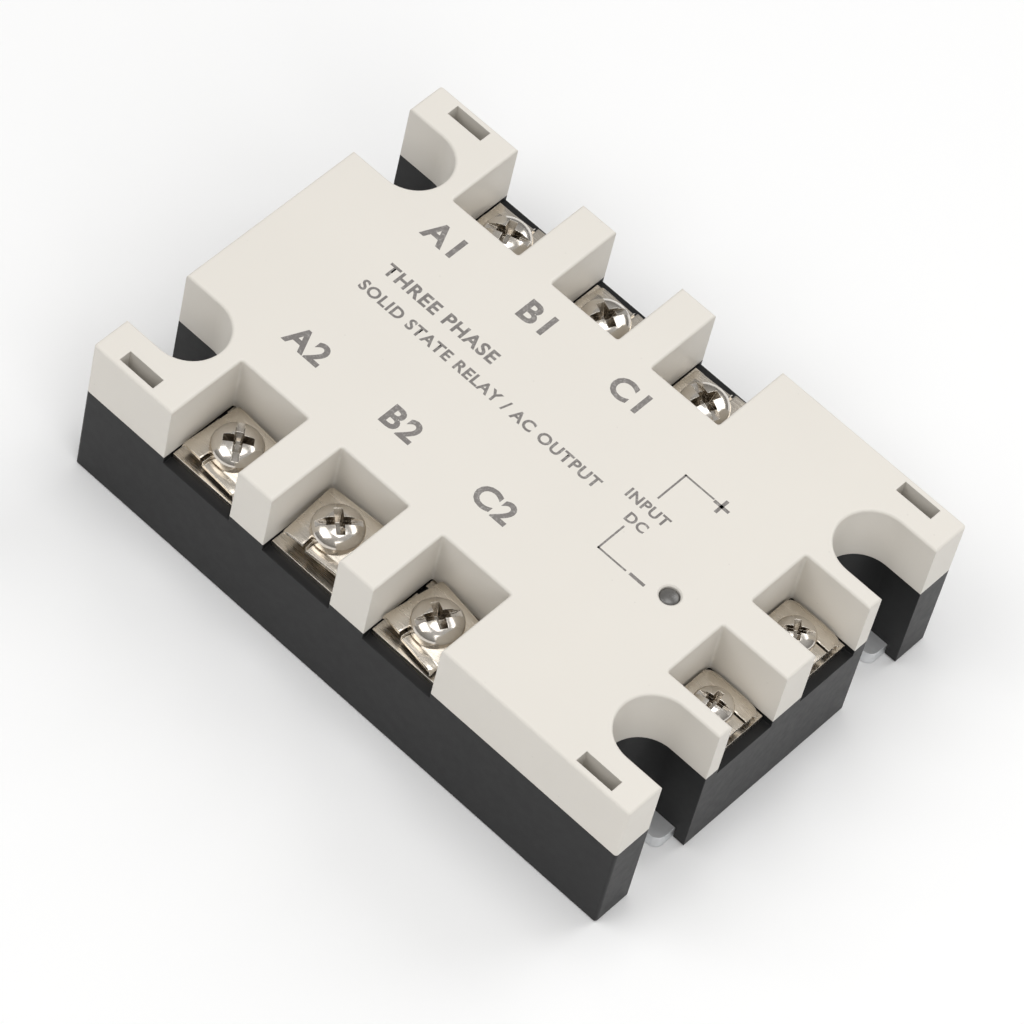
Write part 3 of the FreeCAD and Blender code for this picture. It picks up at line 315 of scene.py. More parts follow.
def moulding(name, base, roughness, sheen_spread, edge_highlight, corner_shade_and_dust, gloss):
    """Moulded plastic: fine spark texture, slow drift of tone, edges lightened as painted
    highlights, and corners tinted: painted shade where the tint is darker, dust where it is lighter.
    """
    made = Finish(name, base, roughness)
    made.shader.inputs["IOR"].default_value = 1.5
    made.shader.inputs["Specular IOR Level"].default_value = gloss
    made.round_edges(0.22 * MM)
    slow = made.noise(38.0, 3.0)
    made.tint(made.remap(slow, (0.35, 0.7), (0.0, 0.5)), shade(base, 0.965))
    # painted highlight: the sharp edges are lightened in patches
    made.tint(made.times(made.edges(0.35 * MM), made.noise(900.0)), edge_highlight)
    # the corners take a tint: painted shade on the cream cover, faint lighter dust on the black base
    made.tint(made.remap(made.hollows(5.0 * MM), (0.0, 1.0), (0.0, 0.6)), corner_shade_and_dust)
    made.tint(made.remap(made.specks(260.0, 0.045), (0.0, 1.0), (0.0, 0.22)), shade(corner_shade_and_dust, 0.8))
    made.roughen(made.noise(700.0, 3.0), roughness - sheen_spread, roughness + sheen_spread)
    made.bump(made.noise(5200.0, 2.0), 0.006 * MM, 0.55)
    made.bump(made.noise(45.0, 1.0), 0.04 * MM, 0.2)
    return made.material


def plating(name, base, low, high, tarnish_and_shade, scratch_axis):
    """Nickel plate: drawn scratches, soft ripples, blotches of tarnish, painted shade in the corners
    and painted highlights on the edges.
    """
    made = Finish(name, base, low, 1.0)
    made.round_edges(0.09 * MM)
    blotch = made.noise(330.0, 5.0, 0.6)
    made.tint(made.remap(blotch, (0.42, 0.72), (0.0, 0.55)), tarnish_and_shade)
    # painted shade: the corners are darkened
    made.tint(made.remap(made.hollows(1.6 * MM), (0.0, 1.0), (0.0, 0.75)), shade(tarnish_and_shade, 0.42))
    # painted highlight: the sharp edges are lightened
    made.tint(made.times(made.edges(0.16 * MM), made.noise(1500.0)), (0.93, 0.89, 0.82))
    stretch = [2600.0] * 3
    stretch[scratch_axis] = 120.0
    lines = made.noise(1.0, 4.0, 0.6, made.stretched(stretch))
    made.roughen(lines, low, high)
    made.bump(lines, 0.004 * MM, 0.5)
    made.bump(made.noise(420.0, 2.0), 0.03 * MM, 0.5)
    made.bump(made.specks(900.0, 0.11), 0.012 * MM, 0.5)
    return made.material


def small_part(name, base, roughness, towards, metallic=0.0, coat=0.0):
    """A small inner part: mottled colour, painted highlights on the edges, painted shade in the
    hollows, uneven gloss and a fine skin.
    """
    made = Finish(name, base, roughness, metallic)
    made.round_edges(0.06 * MM)
    made.tint(made.remap(made.noise(480.0, 4.0), (0.38, 0.68), (0.0, 0.7)), towards)
    # painted highlight: the sharp edges are lightened
    made.tint(made.times(made.edges(0.12 * MM), made.noise(1300.0)), shade(base, 1.5))
    # painted shade: the hollows are darkened
    made.tint(made.remap(made.hollows(1.2 * MM), (0.0, 1.0), (0.0, 0.5)), shade(base, 0.45))
    made.roughen(made.noise(900.0), max(0.05, roughness - 0.1), roughness + 0.1)
    made.bump(made.noise(1800.0, 3.0), 0.01 * MM, 0.5)
    if coat:
        made.coat(coat, 0.12)
    return made.material


def milled_aluminium(base):
    """The plate: saw lines along its length, dull oxide and painted highlights on the edges."""
    made = Finish("milled_aluminium", base, 0.5, 1.0)
    made.round_edges(0.12 * MM)
    lines = made.noise(1.0, 5.0, 0.6, made.stretched((90.0, 2400.0, 2400.0)))
    made.tint(made.remap(made.noise(160.0, 4.0), (0.4, 0.7), (0.0, 0.5)), shade(base, 0.82))
    # painted highlight: the sharp edges are lightened
    made.tint(made.times(made.edges(0.3 * MM), made.noise(800.0)), (0.9, 0.91, 0.92))
    made.roughen(lines, 0.44, 0.66)
    made.bump(lines, 0.01 * MM, 0.7)
    return made.material


def board_laminate(base):
    """The control board: woven glass under green mask."""
    made = Finish("board_laminate", base, 0.34)
    weave = made.node("ShaderNodeTexWave", bands_direction="X")
    weave.inputs["Scale"].default_value = 420.0
    cross = made.node("ShaderNodeTexWave", bands_direction="Y")
    cross.inputs["Scale"].default_value = 420.0
    for bands in (weave, cross):
        made.join(made.place, bands.inputs["Vector"])
    cloth = made.times(weave.outputs["Fac"], cross.outputs["Fac"])
    made.tint(made.remap(cloth, (0.0, 1.0), (0.0, 0.35)), shade(base, 1.6))
    made.tint(made.remap(made.noise(120.0), (0.4, 0.7), (0.0, 0.5)), shade(base, 0.7))
    made.roughen(made.noise(600.0), 0.26, 0.42)
    made.bump(cloth, 0.008 * MM, 0.5)
    made.coat(0.4, 0.1)
    return made.material


def printed_ink(base):
    """Pad-printed ink: thin spots where the cover shows through, and soft gloss."""
    made = Finish("printed_ink", base, 0.5)
    made.tint(made.remap(made.noise(2600.0, 4.0), (0.5, 0.75), (0.0, 0.5)), (0.62, 0.6, 0.56))
    made.tint(made.remap(made.noise(160.0, 2.0), (0.4, 0.7), (0.0, 0.35)), shade(base, 0.75))
    made.roughen(made.noise(1500.0), 0.42, 0.6)
    made.bump(made.noise(4200.0), 0.004 * MM, 0.5)
    return made.material


def smoky_lens(base):
    """The lamp: clear smoky epoxy with a faint cloud and a moulded skin."""
    made = Finish("smoky_lens", base, 0.3)
    made.shader.inputs["IOR"].default_value = 1.52
    made.shader.inputs["Transmission Weight"].default_value = 0.2
    made.tint(made.remap(made.noise(700.0, 2.0), (0.35, 0.7), (0.0, 0.5)), shade(base, 1.7))
    made.roughen(made.noise(900.0), 0.24, 0.38)
    made.bump(made.noise(500.0, 2.0), 0.03 * MM, 0.4)
    made.coat(0.4, 0.15)
    return made.material


def dress(node, material):
    """Put a material on every slot of one of the frame's own pieces."""
    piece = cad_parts[node]
    if not piece.material_slots:
        piece.data.materials.append(material)
    for place in piece.material_slots:
        place.material = material


def dress_all(material, *starts):
    """Put a material on every piece whose name starts with one of these words."""
    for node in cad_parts:
        if node.startswith(starts):
            dress(node, material)


# ---------------------------------------------------------------- mesh helpers

def collection():
    """The collection that holds the new pieces."""
    found = bpy.data.collections.get(COLLECTION)
    if found is None:
        found = bpy.data.collections.new(COLLECTION)
        bpy.context.scene.collection.children.link(found)
    return found


def add_object(name, data):
    """Add an object with this data, at the origin."""
    made = bpy.data.objects.new(name, data)
    collection().objects.link(made)
    return made


def mesh_from(shape, name):
    """Turn a bmesh into a mesh with merged points and outward faces."""
    bmesh.ops.remove_doubles(shape, verts=shape.verts, dist=0.0004 * MM)
    bmesh.ops.recalc_face_normals(shape, faces=shape.faces)
    mesh = bpy.data.meshes.new(name)
    shape.to_mesh(mesh)
    shape.free()
    return mesh


def evaluated_mesh(piece, name):
    """The plain mesh of an object with its modifiers worked out."""
    graph = bpy.context.evaluated_depsgraph_get()
    graph.update()
    mesh = bpy.data.meshes.new_from_object(piece.evaluated_get(graph), depsgraph=graph)
    mesh.name = name
    return mesh


def smooth(mesh, angle):
    """Shade smooth, with edges sharper than an angle kept sharp."""
    shape = bmesh.new()
    shape.from_mesh(mesh)
    for face in shape.faces:
        face.smooth = True
    for edge in shape.edges:
        edge.smooth = len(edge.link_faces) == 2 and edge.calc_face_angle(0.0) < angle
    shape.to_mesh(mesh)
    shape.free()


def dispose(*pieces):
    """Remove helper objects."""
    for piece in pieces:
        bpy.data.objects.remove(piece, do_unlink=True)


def finish_piece(piece, body, slot, *nodes):
    """Hand a finished piece to the frame."""
    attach(piece, body)
    if nodes:
        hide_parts(*nodes)


# ---------------------------------------------------------------- geometry node helpers

class Recipe:
    """One Geometry Nodes tree with named inputs."""

    def __init__(self, name):
        self.tree = bpy.data.node_groups.new(name, "GeometryNodeTree")
        self.tree.interface.new_socket("Geometry", in_out="OUTPUT",
                                       socket_type="NodeSocketGeometry")
        self.names = {}
        self.inside = None

    def size(self, name, default):
        """Add a named length input."""
        made = self.tree.interface.new_socket(name, in_out="INPUT",
                                              socket_type="NodeSocketFloat")
        made.default_value = default
        self.names[name] = made.identifier

    def number(self, name, default):
        """Add a named whole-number input."""
        made = self.tree.interface.new_socket(name, in_out="INPUT",
                                              socket_type="NodeSocketInt")
        made.default_value = default
        self.names[name] = made.identifier

    def finish_input(self, name):
        """Add a named material input."""
        made = self.tree.interface.new_socket(name, in_out="INPUT",
                                              socket_type="NodeSocketMaterial")
        self.names[name] = made.identifier

    def start(self):
        """Close the list of inputs and open the tree."""
        self.inside = self.tree.nodes.new("NodeGroupInput")

    def get(self, name):
        """The output that carries a named input."""
        return self.inside.outputs[name]

    def node(self, kind, inputs=None, **settings):
        """Add a node, set its fields and link or set its inputs."""
        made = self.tree.nodes.new(kind)
        for field, value in settings.items():
            setattr(made, field, value)
        for key, value in (inputs or {}).items():
            if isinstance(value, bpy.types.NodeSocket):
                self.tree.links.new(value, made.inputs[key])
            else:
                made.inputs[key].default_value = value
        return made

    def sum(self, operation, first, second=0.0):
        """One step of arithmetic."""
        return self.node("ShaderNodeMath", {0: first, 1: second}, operation=operation).outputs[0]

    def close(self, geometry, finish):
        """End in real geometry with its material."""
        real = self.node("GeometryNodeRealizeInstances", {"Geometry": geometry})
        coated = self.node("GeometryNodeSetMaterial",
                           {"Geometry": real.outputs[0], "Material": finish})
        ending = self.tree.nodes.new("NodeGroupOutput")
        self.tree.links.new(coated.outputs[0], ending.inputs[0])

    def make(self, name, values):
        """Work the tree out with these inputs and return the plain mesh."""
        holder = add_object(f"{name}_holder", bpy.data.meshes.new(f"{name}_empty"))
        modifier = holder.modifiers.new("recipe", "NODES")
        modifier.node_group = self.tree
        for key, value in values.items():
            modifier[self.names[key]] = value
        mesh = evaluated_mesh(holder, name)
        dispose(holder)
        return mesh


def thread_recipe():
    """Screw shank and thread: a tapered ridge swept along a spiral round a core."""
    made = Recipe("screw_thread")
    for name, value in (("Core Radius", 1.6 * MM), ("Ridge", 0.36 * MM), ("Pitch", PITCH[0]),
                        ("Length", 8.0 * MM), ("Lead In", PITCH[0])):
        made.size(name, value)
    made.number("Segments", THREAD_SEGMENTS)
    made.finish_input("Finish")
    made.start()
    run = made.sum("SUBTRACT", made.get("Length"), made.get("Lead In"))
    run = made.sum("SUBTRACT", run, made.get("Pitch"))
    turns = made.sum("DIVIDE", run, made.get("Pitch"))
    spiral = made.node("GeometryNodeCurveSpiral", {
        "Resolution": made.get("Segments"), "Rotations": turns,
        "Start Radius": made.get("Core Radius"), "End Radius": made.get("Core Radius"),
        "Height": run, "Reverse": True})
    factor = made.node("GeometryNodeSplineParameter").outputs["Factor"]
    fade = made.node("ShaderNodeMapRange", {
        "Value": made.sum("ABSOLUTE", made.sum("SUBTRACT", factor, 0.5)),
        "From Min": 0.42, "From Max": 0.5, "To Min": 1.0, "To Max": 0.25})
    faded = made.node("GeometryNodeSetCurveRadius", {
        "Curve": spiral.outputs[0], "Radius": fade.outputs["Result"]})
    upright = made.node("GeometryNodeSetCurveNormal", {"Curve": faded.outputs[0]},
                        mode="Z_UP")
    ridge = made.node("GeometryNodeCurvePrimitiveCircle",
                      {"Resolution": 3, "Radius": made.get("Ridge")}, mode="RADIUS")
    sweep = made.node("GeometryNodeCurveToMesh", {
        "Curve": upright.outputs[0], "Profile Curve": ridge.outputs["Curve"],
        "Scale": fade.outputs["Result"], "Fill Caps": True})
    drop = made.sum("MULTIPLY", made.get("Length"), -1.0)
    lift = made.node("ShaderNodeCombineXYZ",
                     {"Z": made.sum("ADD", drop, made.get("Pitch"))})
    placed = made.node("GeometryNodeTransform",
                       {"Geometry": sweep.outputs[0], "Translation": lift.outputs[0]})
    shank = made.node("GeometryNodeMeshCylinder", {
        "Vertices": 32, "Side Segments": 1, "Radius": made.get("Core Radius"),
        "Depth": made.get("Length")})
    half = made.node("ShaderNodeCombineXYZ", {"Z": made.sum("MULTIPLY", drop, 0.5)})
    core = made.node("GeometryNodeTransform",
                     {"Geometry": shank.outputs["Mesh"], "Translation": half.outputs[0]})
    both = made.node("GeometryNodeJoinGeometry")
    for part in (placed, core):
        made.tree.links.new(part.outputs[0], both.inputs[0])
    made.close(both.outputs[0], made.get("Finish"))
    return made


def washer_recipe():
    """Clamp washer: a grid shaped to a rounded square, stepped past its slit, given a gauge."""
    made = Recipe("clamp_washer")
    for name, value in (("Side", 10.6 * MM), ("Gauge", 0.62 * MM), ("Corner", WASHER_CORNER[0]),
                        ("Slit", SLIT), ("Slit Place", SLIT_PLACE[0]), ("Step", 0.24 * MM),
                        ("Barrel", 0.16 * MM), ("Curl", 0.12 * MM)):
        made.size(name, value)
    made.number("Cells", WASHER_CELLS)
    made.finish_input("Finish")
    made.start()
    grid = made.node("GeometryNodeMeshGrid", {
        "Size X": made.get("Side"), "Size Y": made.get("Side"),
        "Vertices X": made.get("Cells"), "Vertices Y": made.get("Cells")})
    place = made.node("GeometryNodeInputPosition").outputs[0]
    split = made.node("ShaderNodeSeparateXYZ", {0: place})
    across, along = split.outputs[0], split.outputs[1]
    half = made.sum("MULTIPLY", made.get("Side"), 0.5)
    inner = made.sum("SUBTRACT", half, made.get("Corner"))
    past = [made.sum("MAXIMUM", made.sum("SUBTRACT", made.sum("ABSOLUTE", side), inner), 0.0)
            for side in (across, along)]
    spread = made.sum("SQRT", made.sum("ADD", made.sum("POWER", past[0], 2.0),
                                       made.sum("POWER", past[1], 2.0)))
    outside = made.sum("GREATER_THAN", spread, made.get("Corner"))
    ratio = made.sum("DIVIDE", made.get("Corner"), made.sum("MAXIMUM", spread, 0.01 * MM))
    pulled = []
    for side, over in zip((across, along), past):
        edge = made.sum("MULTIPLY", made.sum("SIGN", side),
                        made.sum("ADD", inner, made.sum("MULTIPLY", over, ratio)))
        change = made.sum("MULTIPLY", made.sum("SUBTRACT", edge, side), outside)
        pulled.append(made.sum("ADD", side, change))
    # past the slit, towards +X, the washer steps down and then barrels over
    beyond = made.node("ShaderNodeMapRange", {
        "Value": across, "From Min": made.get("Slit Place"),
        "From Max": made.sum("ADD", made.get("Slit Place"), made.get("Slit")),
        "To Min": 0.0, "To Max": 1.0})
    ahead = made.node("ShaderNodeMapRange", {
        "Value": along, "From Min": made.sum("MULTIPLY", half, -0.25),
        "From Max": made.sum("MULTIPLY", half, -0.7), "To Min": 0.0, "To Max": 1.0})
    step = made.sum("MULTIPLY", made.sum("MULTIPLY", beyond.outputs[0], ahead.outputs[0]),
                    made.get("Step"))
    arch = made.sum("MULTIPLY", made.sum("POWER", made.sum("DIVIDE", across, half), 10.0),
                    made.get("Barrel"))
    roll = made.node("ShaderNodeMapRange", {
        "Value": made.sum("ABSOLUTE", along),
        "From Min": made.sum("MULTIPLY", half, 0.86), "From Max": half,
        "To Min": 0.0, "To Max": 1.0}, interpolation_type="SMOOTHSTEP")
    fall = made.sum("ADD", step, made.sum("ADD", arch, made.sum(
        "MULTIPLY", roll.outputs[0], made.get("Curl"))))
    moved = made.node("ShaderNodeCombineXYZ", {
        "X": pulled[0], "Y": pulled[1], "Z": made.sum("MULTIPLY", fall, -1.0)})
    shaped = made.node("GeometryNodeSetPosition",
                       {"Geometry": grid.outputs["Mesh"], "Position": moved.outputs[0]})
    top = made.node("GeometryNodeExtrudeMesh", {
        "Mesh": shaped.outputs[0], "Offset": (0.0, 0.0, -1.0),
        "Offset Scale": made.get("Gauge"), "Individual": False}, mode="FACES")
    lid = made.node("GeometryNodeFlipFaces", {"Mesh": shaped.outputs[0]})
    body = made.node("GeometryNodeJoinGeometry")
    for part in (top, lid):
        made.tree.links.new(part.outputs[0], body.inputs[0])
    whole = made.node("GeometryNodeMergeByDistance",
                      {"Geometry": body.outputs[0], "Distance": 0.002 * MM})
    made.close(whole.outputs[0], made.get("Finish"))
    return made


def cut_away(target, cutters, name):
    """Take closed cutters out of a mesh and return the result."""
    body = add_object(f"{name}_body", target)
    tools = []
    for number, cutter in enumerate(cutters):
        tool = add_object(f"{name}_tool_{number}", cutter)
        modifier = body.modifiers.new(f"cut_{number}", "BOOLEAN")
        modifier.operation = "DIFFERENCE"
        modifier.solver = "EXACT"
        modifier.object = tool
        tools.append(tool)
    mesh = evaluated_mesh(body, name)
    dispose(body, *tools)
    return mesh


def prism(outline, low, high, top_scale=1.0, bottom_scale=1.0):
    """A closed prism over a flat outline, with either end drawn in."""
    shape = bmesh.new()
    rings = []
    for height, scale in ((low, bottom_scale), (high, top_scale)):
        rings.append([shape.verts.new((x * scale, y * scale, height)) for x, y in outline])
    shape.faces.new(list(reversed(rings[0])))
    shape.faces.new(rings[1])
    count = len(outline)
    for here in range(count):
        after = (here + 1) % count
        shape.faces.new((rings[0][here], rings[0][after], rings[1][after], rings[1][here]))
    return mesh_from(shape, "prism")


def bar_outline(width, reach):
    """Outline of a straight bar through the middle."""
    return ((-reach, -width / 2), (reach, -width / 2), (reach, width / 2), (-reach, width / 2))


def turned(outline, angle):
    """An outline turned about the middle."""
    c, s = math.cos(angle), math.sin(angle)
    return tuple((x * c - y * s, x * s + y * c) for x, y in outline)


def domed_head(radius, height, name):
    """A pan head: a short upright wall, a wide round and a crowned top."""
    wall = HEAD_WALL * height
    profile = [(0.0, 0.0), (radius - 0.1 * MM, 0.0), (radius, 0.1 * MM), (radius, wall)]
    for step in range(1, HEAD_STEPS + 1):
        angle = math.pi / 2 * step / HEAD_STEPS
        profile.append((radius * math.cos(angle) ** HEAD_ROUND[0],
                        wall + (height - wall) * math.sin(angle) ** HEAD_ROUND[1]))
    profile[-1] = (0.0, height)
    shape = bmesh.new()
    line = [shape.verts.new((x, 0.0, z)) for x, z in profile]
    for here, after in zip(line, line[1:]):
        shape.edges.new((here, after))
    bmesh.ops.spin(shape, geom=shape.verts[:] + shape.edges[:], cent=(0, 0, 0), axis=(0, 0, 1),
                   angle=2 * math.pi, steps=64)
    return mesh_from(shape, name)


def shifted(mesh, matrix):
    """Move a mesh's points by a matrix."""
    mesh.transform(matrix)
    mesh.update()
    return mesh


def joined(meshes, name):
    """Join meshes into one, keeping their materials' slot 0."""
    shape = bmesh.new()
    for mesh in meshes:
        shape.from_mesh(mesh)
    mesh = bpy.data.meshes.new(name)
    shape.to_mesh(mesh)
    shape.free()
    return mesh


# ---------------------------------------------------------------- operators

class RELAY_OT_finishes(bpy.types.Operator):
    """Give the housing, plate, bars and inner parts their finishes"""
    bl_idname = "relay.finishes"
    bl_label = "Finishes"

    def execute(self, context):
        look = context.scene.relay_finishes
        # the cover's edges get a painted highlight and its corners painted shade
        cover = moulding("cream_moulding", tuple(look.cover), look.cover_roughness, 0.04,
                         shade(look.cover, 1.08), shade(look.cover, 0.8), 0.4)
        # the base's edges get a painted highlight and its corners a faint lighter dust
        base = moulding("black_moulding", tuple(look.base), look.base_roughness, 0.03,
                        shade(look.base, 2.2), shade(look.base, 1.1), 0.22)
        nickel = tuple(look.nickel)
        dress("top_cover", cover)
        dress("base_housing", base)
        dress("base_plate", milled_aluminium(tuple(look.plate)))
        # the tarnish colour also darkens the corners as painted shade
        dress_all(plating("nickel_strip", nickel, 0.2, 0.36, (0.60, 0.52, 0.42), 0),
                  "terminal_bar", "input_bar")
        dress_all(small_part("zinc_steel", (0.55, 0.56, 0.58), 0.34, (0.62, 0.58, 0.45), 1.0),
                  "output_nuts", "input_nuts")
        dress_all(small_part("copper_faced_ceramic", (0.78, 0.77, 0.74), 0.4,
                             (0.66, 0.63, 0.58)), "ceramic_substrate")
        dress_all(small_part("passivated_silicon", (0.06, 0.06, 0.08), 0.18,
                             (0.12, 0.11, 0.17), coat=0.5), "thyristor_chips")
        dress_all(small_part("tinned_copper", (0.66, 0.60, 0.52), 0.32, (0.55, 0.42, 0.32), 1.0),
                  "chip_straps", "gate_pins")
        dress_all(small_part("moulded_black", (0.02, 0.02, 0.021), 0.48, (0.035, 0.035, 0.037)),
                  "opto_coupler", "reverse_diode", "current_limiter", "led_spacer")
        dress_all(small_part("film_box_yellow", (0.66, 0.38, 0.05), 0.32, (0.55, 0.30, 0.04),
                             coat=0.3), "snubber_capacitor")
        dress_all(small_part("lacquered_tan", (0.46, 0.31, 0.16), 0.3, (0.36, 0.22, 0.11),
                             coat=0.4), "snubber_resistor", "gate_resistors")
        dress("potting_resin", small_part("cast_resin", (0.03, 0.027, 0.024), 0.22,
                                          (0.05, 0.045, 0.04), coat=0.5))
        dress("control_board", board_laminate((0.02, 0.13, 0.055)))
        return {"FINISHED"}


class RELAY_OT_washers(bpy.types.Operator):
    """Make the slit, slightly bent clamp washers"""
    bl_idname = "relay.washers"
    bl_label = "Clamp washers"

    def execute(self, context):
        look = context.scene.relay_finishes
        sizes = context.scene.relay_screws
        # the tarnish colour also darkens the corners as painted shade
        finish = plating("nickel_pressed", tuple(look.nickel), 0.14, 0.32,
                         (0.62, 0.55, 0.46), 0)
        recipe = washer_recipe()
        for name in OUTPUTS + INPUTS:
            self.make_washer(recipe, name, sizes, finish)
        return {"FINISHED"}

    def make_washer(self, recipe, name, sizes, finish):
        """One washer, shaped flat about its screw and then put in its place."""
        output = name in OUTPUTS
        node = f"clamp_washer_{name}" if output else f"input_washer_{name}"
        low, high = (Vector(corner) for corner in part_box(node))
        side = (high - low).x
        gauge = sizes.washer_gauge
        room = (high - low).z - gauge
        kind = 0 if output else 1
        bore, slit_place = WASHER_BORE[kind], SLIT_PLACE[kind]
        step = sizes.washer_step if output else INPUT_STEP
        mesh = recipe.make(node, {
            "Side": side, "Gauge": gauge, "Corner": WASHER_CORNER[kind],
            "Slit": SLIT, "Slit Place": slit_place,
            "Step": step * room, "Barrel": (WASHER_FALL - step) * room,
            "Curl": WASHER_CURL, "Cells": WASHER_CELLS, "Finish": finish})
        hole = [(bore * math.cos(a), bore * math.sin(a))
                for a in (2 * math.pi * point / 48 for point in range(48))]
        gap = ((slit_place, -side), (slit_place + SLIT, -side),
               (slit_place + SLIT, SLIT_END), (slit_place, SLIT_END))
        cutters = [prism(hole, -3 * MM, 3 * MM), prism(gap, -3 * MM, 3 * MM)]
        mesh = cut_away(mesh, cutters, f"washer_{name}")
        middle = (low + high) / 2
        facing = {"1": 180.0, "2": 0.0}[name[1]] if output else 90.0
        angle = math.radians(facing + WASHER_TURN[name])
        place = Matrix.Translation((middle.x, middle.y, high.z)) @ Matrix.Rotation(
            angle, 4, "Z")
        shifted(mesh, place)
        smooth(mesh, math.radians(32))
        mesh.materials.clear()
        mesh.materials.append(finish)
        piece = add_object(f"washer_{name}", mesh)
        finish_piece(piece, f"clamp_{name}", "nickel_washer", node)


class RELAY_OT_screws(bpy.types.Operator):
    """Make the threaded clamp screws with their slotted cross-recess heads"""
    bl_idname = "relay.screws"
    bl_label = "Clamp screws"

    def execute(self, context):
        look = context.scene.relay_finishes
        sizes = context.scene.relay_screws
        # the tarnish colour also darkens the corners as painted shade
        finish = plating("nickel_bright", tuple(look.screw), 0.1, 0.24, (0.56, 0.49, 0.40), 2)
        recipe = thread_recipe()
        for name in OUTPUTS + INPUTS:
            self.make_screw(recipe, name, sizes, finish)
        return {"FINISHED"}

    def make_screw(self, recipe, name, sizes, finish):
        """One screw, about its axis with the underside of its head at 0, then in its place."""
        output = name in OUTPUTS
        node = f"terminal_screw_{name}" if output else f"input_screw_{name}"
        low, high = (Vector(corner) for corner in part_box(node))
        radius = (high - low).x / 2
        washer = f"clamp_washer_{name}" if output else f"input_washer_{name}"
        height = high.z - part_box(washer)[1][2]
        kind = 0 if output else 1
        shank, pitch, small = SHANK_RADIUS[kind], PITCH[kind], HEAD_SIZE[kind]
        run = (high - low).z - height
        ridge = sizes.thread_depth * small
        thread = recipe.make(f"thread_{name}", {
            "Core Radius": shank - ridge, "Ridge": ridge, "Pitch": pitch, "Length": run,
            "Lead In": pitch, "Segments": THREAD_SEGMENTS, "Finish": finish})
        head = domed_head(radius, height, f"head_{name}")
        slot = bar_outline(sizes.slot_width * small, 2 * radius)
        span = sizes.wing_span * small / 2
        wing = bar_outline(sizes.wing_width * small, span)
        top = height + 1 * MM
        deep = height - sizes.wing_depth * small
        cutters = [prism(slot, height - sizes.slot_depth * small, top),
                   prism(wing, deep, top, RECESS_TOP, RECESS_BOTTOM),
                   prism(turned(wing, math.pi / 2), deep, top, RECESS_TOP, RECESS_BOTTOM)]
        head = cut_away(head, cutters, f"recessed_{name}")
        whole = joined((head, thread), f"screw_{name}")
        middle = (low + high) / 2
        place = Matrix.Translation((middle.x, middle.y, high.z - height)) @ Matrix.Rotation(
            math.radians(SLOT_TURN[name]), 4, "Z")
        shifted(whole, place)
        smooth(whole, math.radians(38))
        whole.materials.append(finish)
        piece = add_object(f"screw_piece_{name}", whole)
        finish_piece(piece, f"screw_{name}", "nickel_screw", node)


class RELAY_OT_marks(bpy.types.Operator):
    """Print the terminal marks, captions, brackets and signs on the cover"""
    bl_idname = "relay.marks"
    bl_label = "Printed marks"

    def execute(self, context):
        ink = printed_ink(tuple(context.scene.relay_finishes.print_ink))
        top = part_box("top_cover")[1][2]
        for number, (text, tall, left, middle) in enumerate(MARKS):
            self.print_text(f"mark_{number}", text, tall * MM, left * MM, middle * MM, top, ink)
        shape = bmesh.new()
        for points in BRACKETS:
            for (x0, y0), (x1, y1) in zip(points, points[1:]):
                self.bar(shape, x0 * MM, y0 * MM, x1 * MM, y1 * MM, BRACKET_STROKE)
        for name, x, y in SIGN_MIDDLES:
            x, y = x * MM, y * MM
            self.bar(shape, x - SIGN_REACH, y, x + SIGN_REACH, y, SIGN_STROKE)
            if name == "plus":
                self.bar(shape, x, y - SIGN_REACH, x, y + SIGN_REACH, SIGN_STROKE)
        mesh = bpy.data.meshes.new("brackets_and_signs")
        shape.to_mesh(mesh)
        shape.free()
        shifted(mesh, Matrix.Translation((0, 0, top + PRINT_RAISE)))
        mesh.materials.append(ink)
        piece = add_object("brackets_and_signs", mesh)
        finish_piece(piece, "root", "cream_plastic")
        return {"FINISHED"}

    @staticmethod
    def bar(shape, x0, y0, x1, y1, width):
        """A straight printed stroke with square ends."""
        along = Vector((x1 - x0, y1 - y0)).normalized() * width / 2
        side = Vector((-along.y, along.x))
        corners = ((x0, y0, -1, -1), (x1, y1, 1, -1), (x1, y1, 1, 1), (x0, y0, -1, 1))
        shape.faces.new([shape.verts.new((x + along.x * a + side.x * b,
                                          y + along.y * a + side.y * b, 0.0))
                         for x, y, a, b in corners])

    @staticmethod
    def print_text(name, text, tall, left, middle, top, ink):
        """Flat lettering of a given capital height, left end and middle."""
        curve = bpy.data.curves.new(name, "FONT")
        curve.body = text
        curve.size = 1.0
        curve.offset = 0.03
        curve.space_character = 1.12
        curve.resolution_u = 4
        curve.fill_mode = "BOTH"
        holder = add_object(f"{name}_text", curve)
        mesh = evaluated_mesh(holder, name)
        dispose(holder)
        xs = [point.co.x for point in mesh.vertices]
        ys = [point.co.y for point in mesh.vertices]
        scale = tall / (max(ys) - min(ys))
        place = Matrix.Translation((left - min(xs) * scale,
                                    middle - (max(ys) + min(ys)) / 2 * scale,
                                    top + PRINT_RAISE))
        shifted(mesh, place @ Matrix.Diagonal((scale, scale, 1.0, 1.0)))
        mesh.materials.clear()
        mesh.materials.append(ink)
        piece = add_object(name, mesh)
        finish_piece(piece, "root", "cream_plastic")


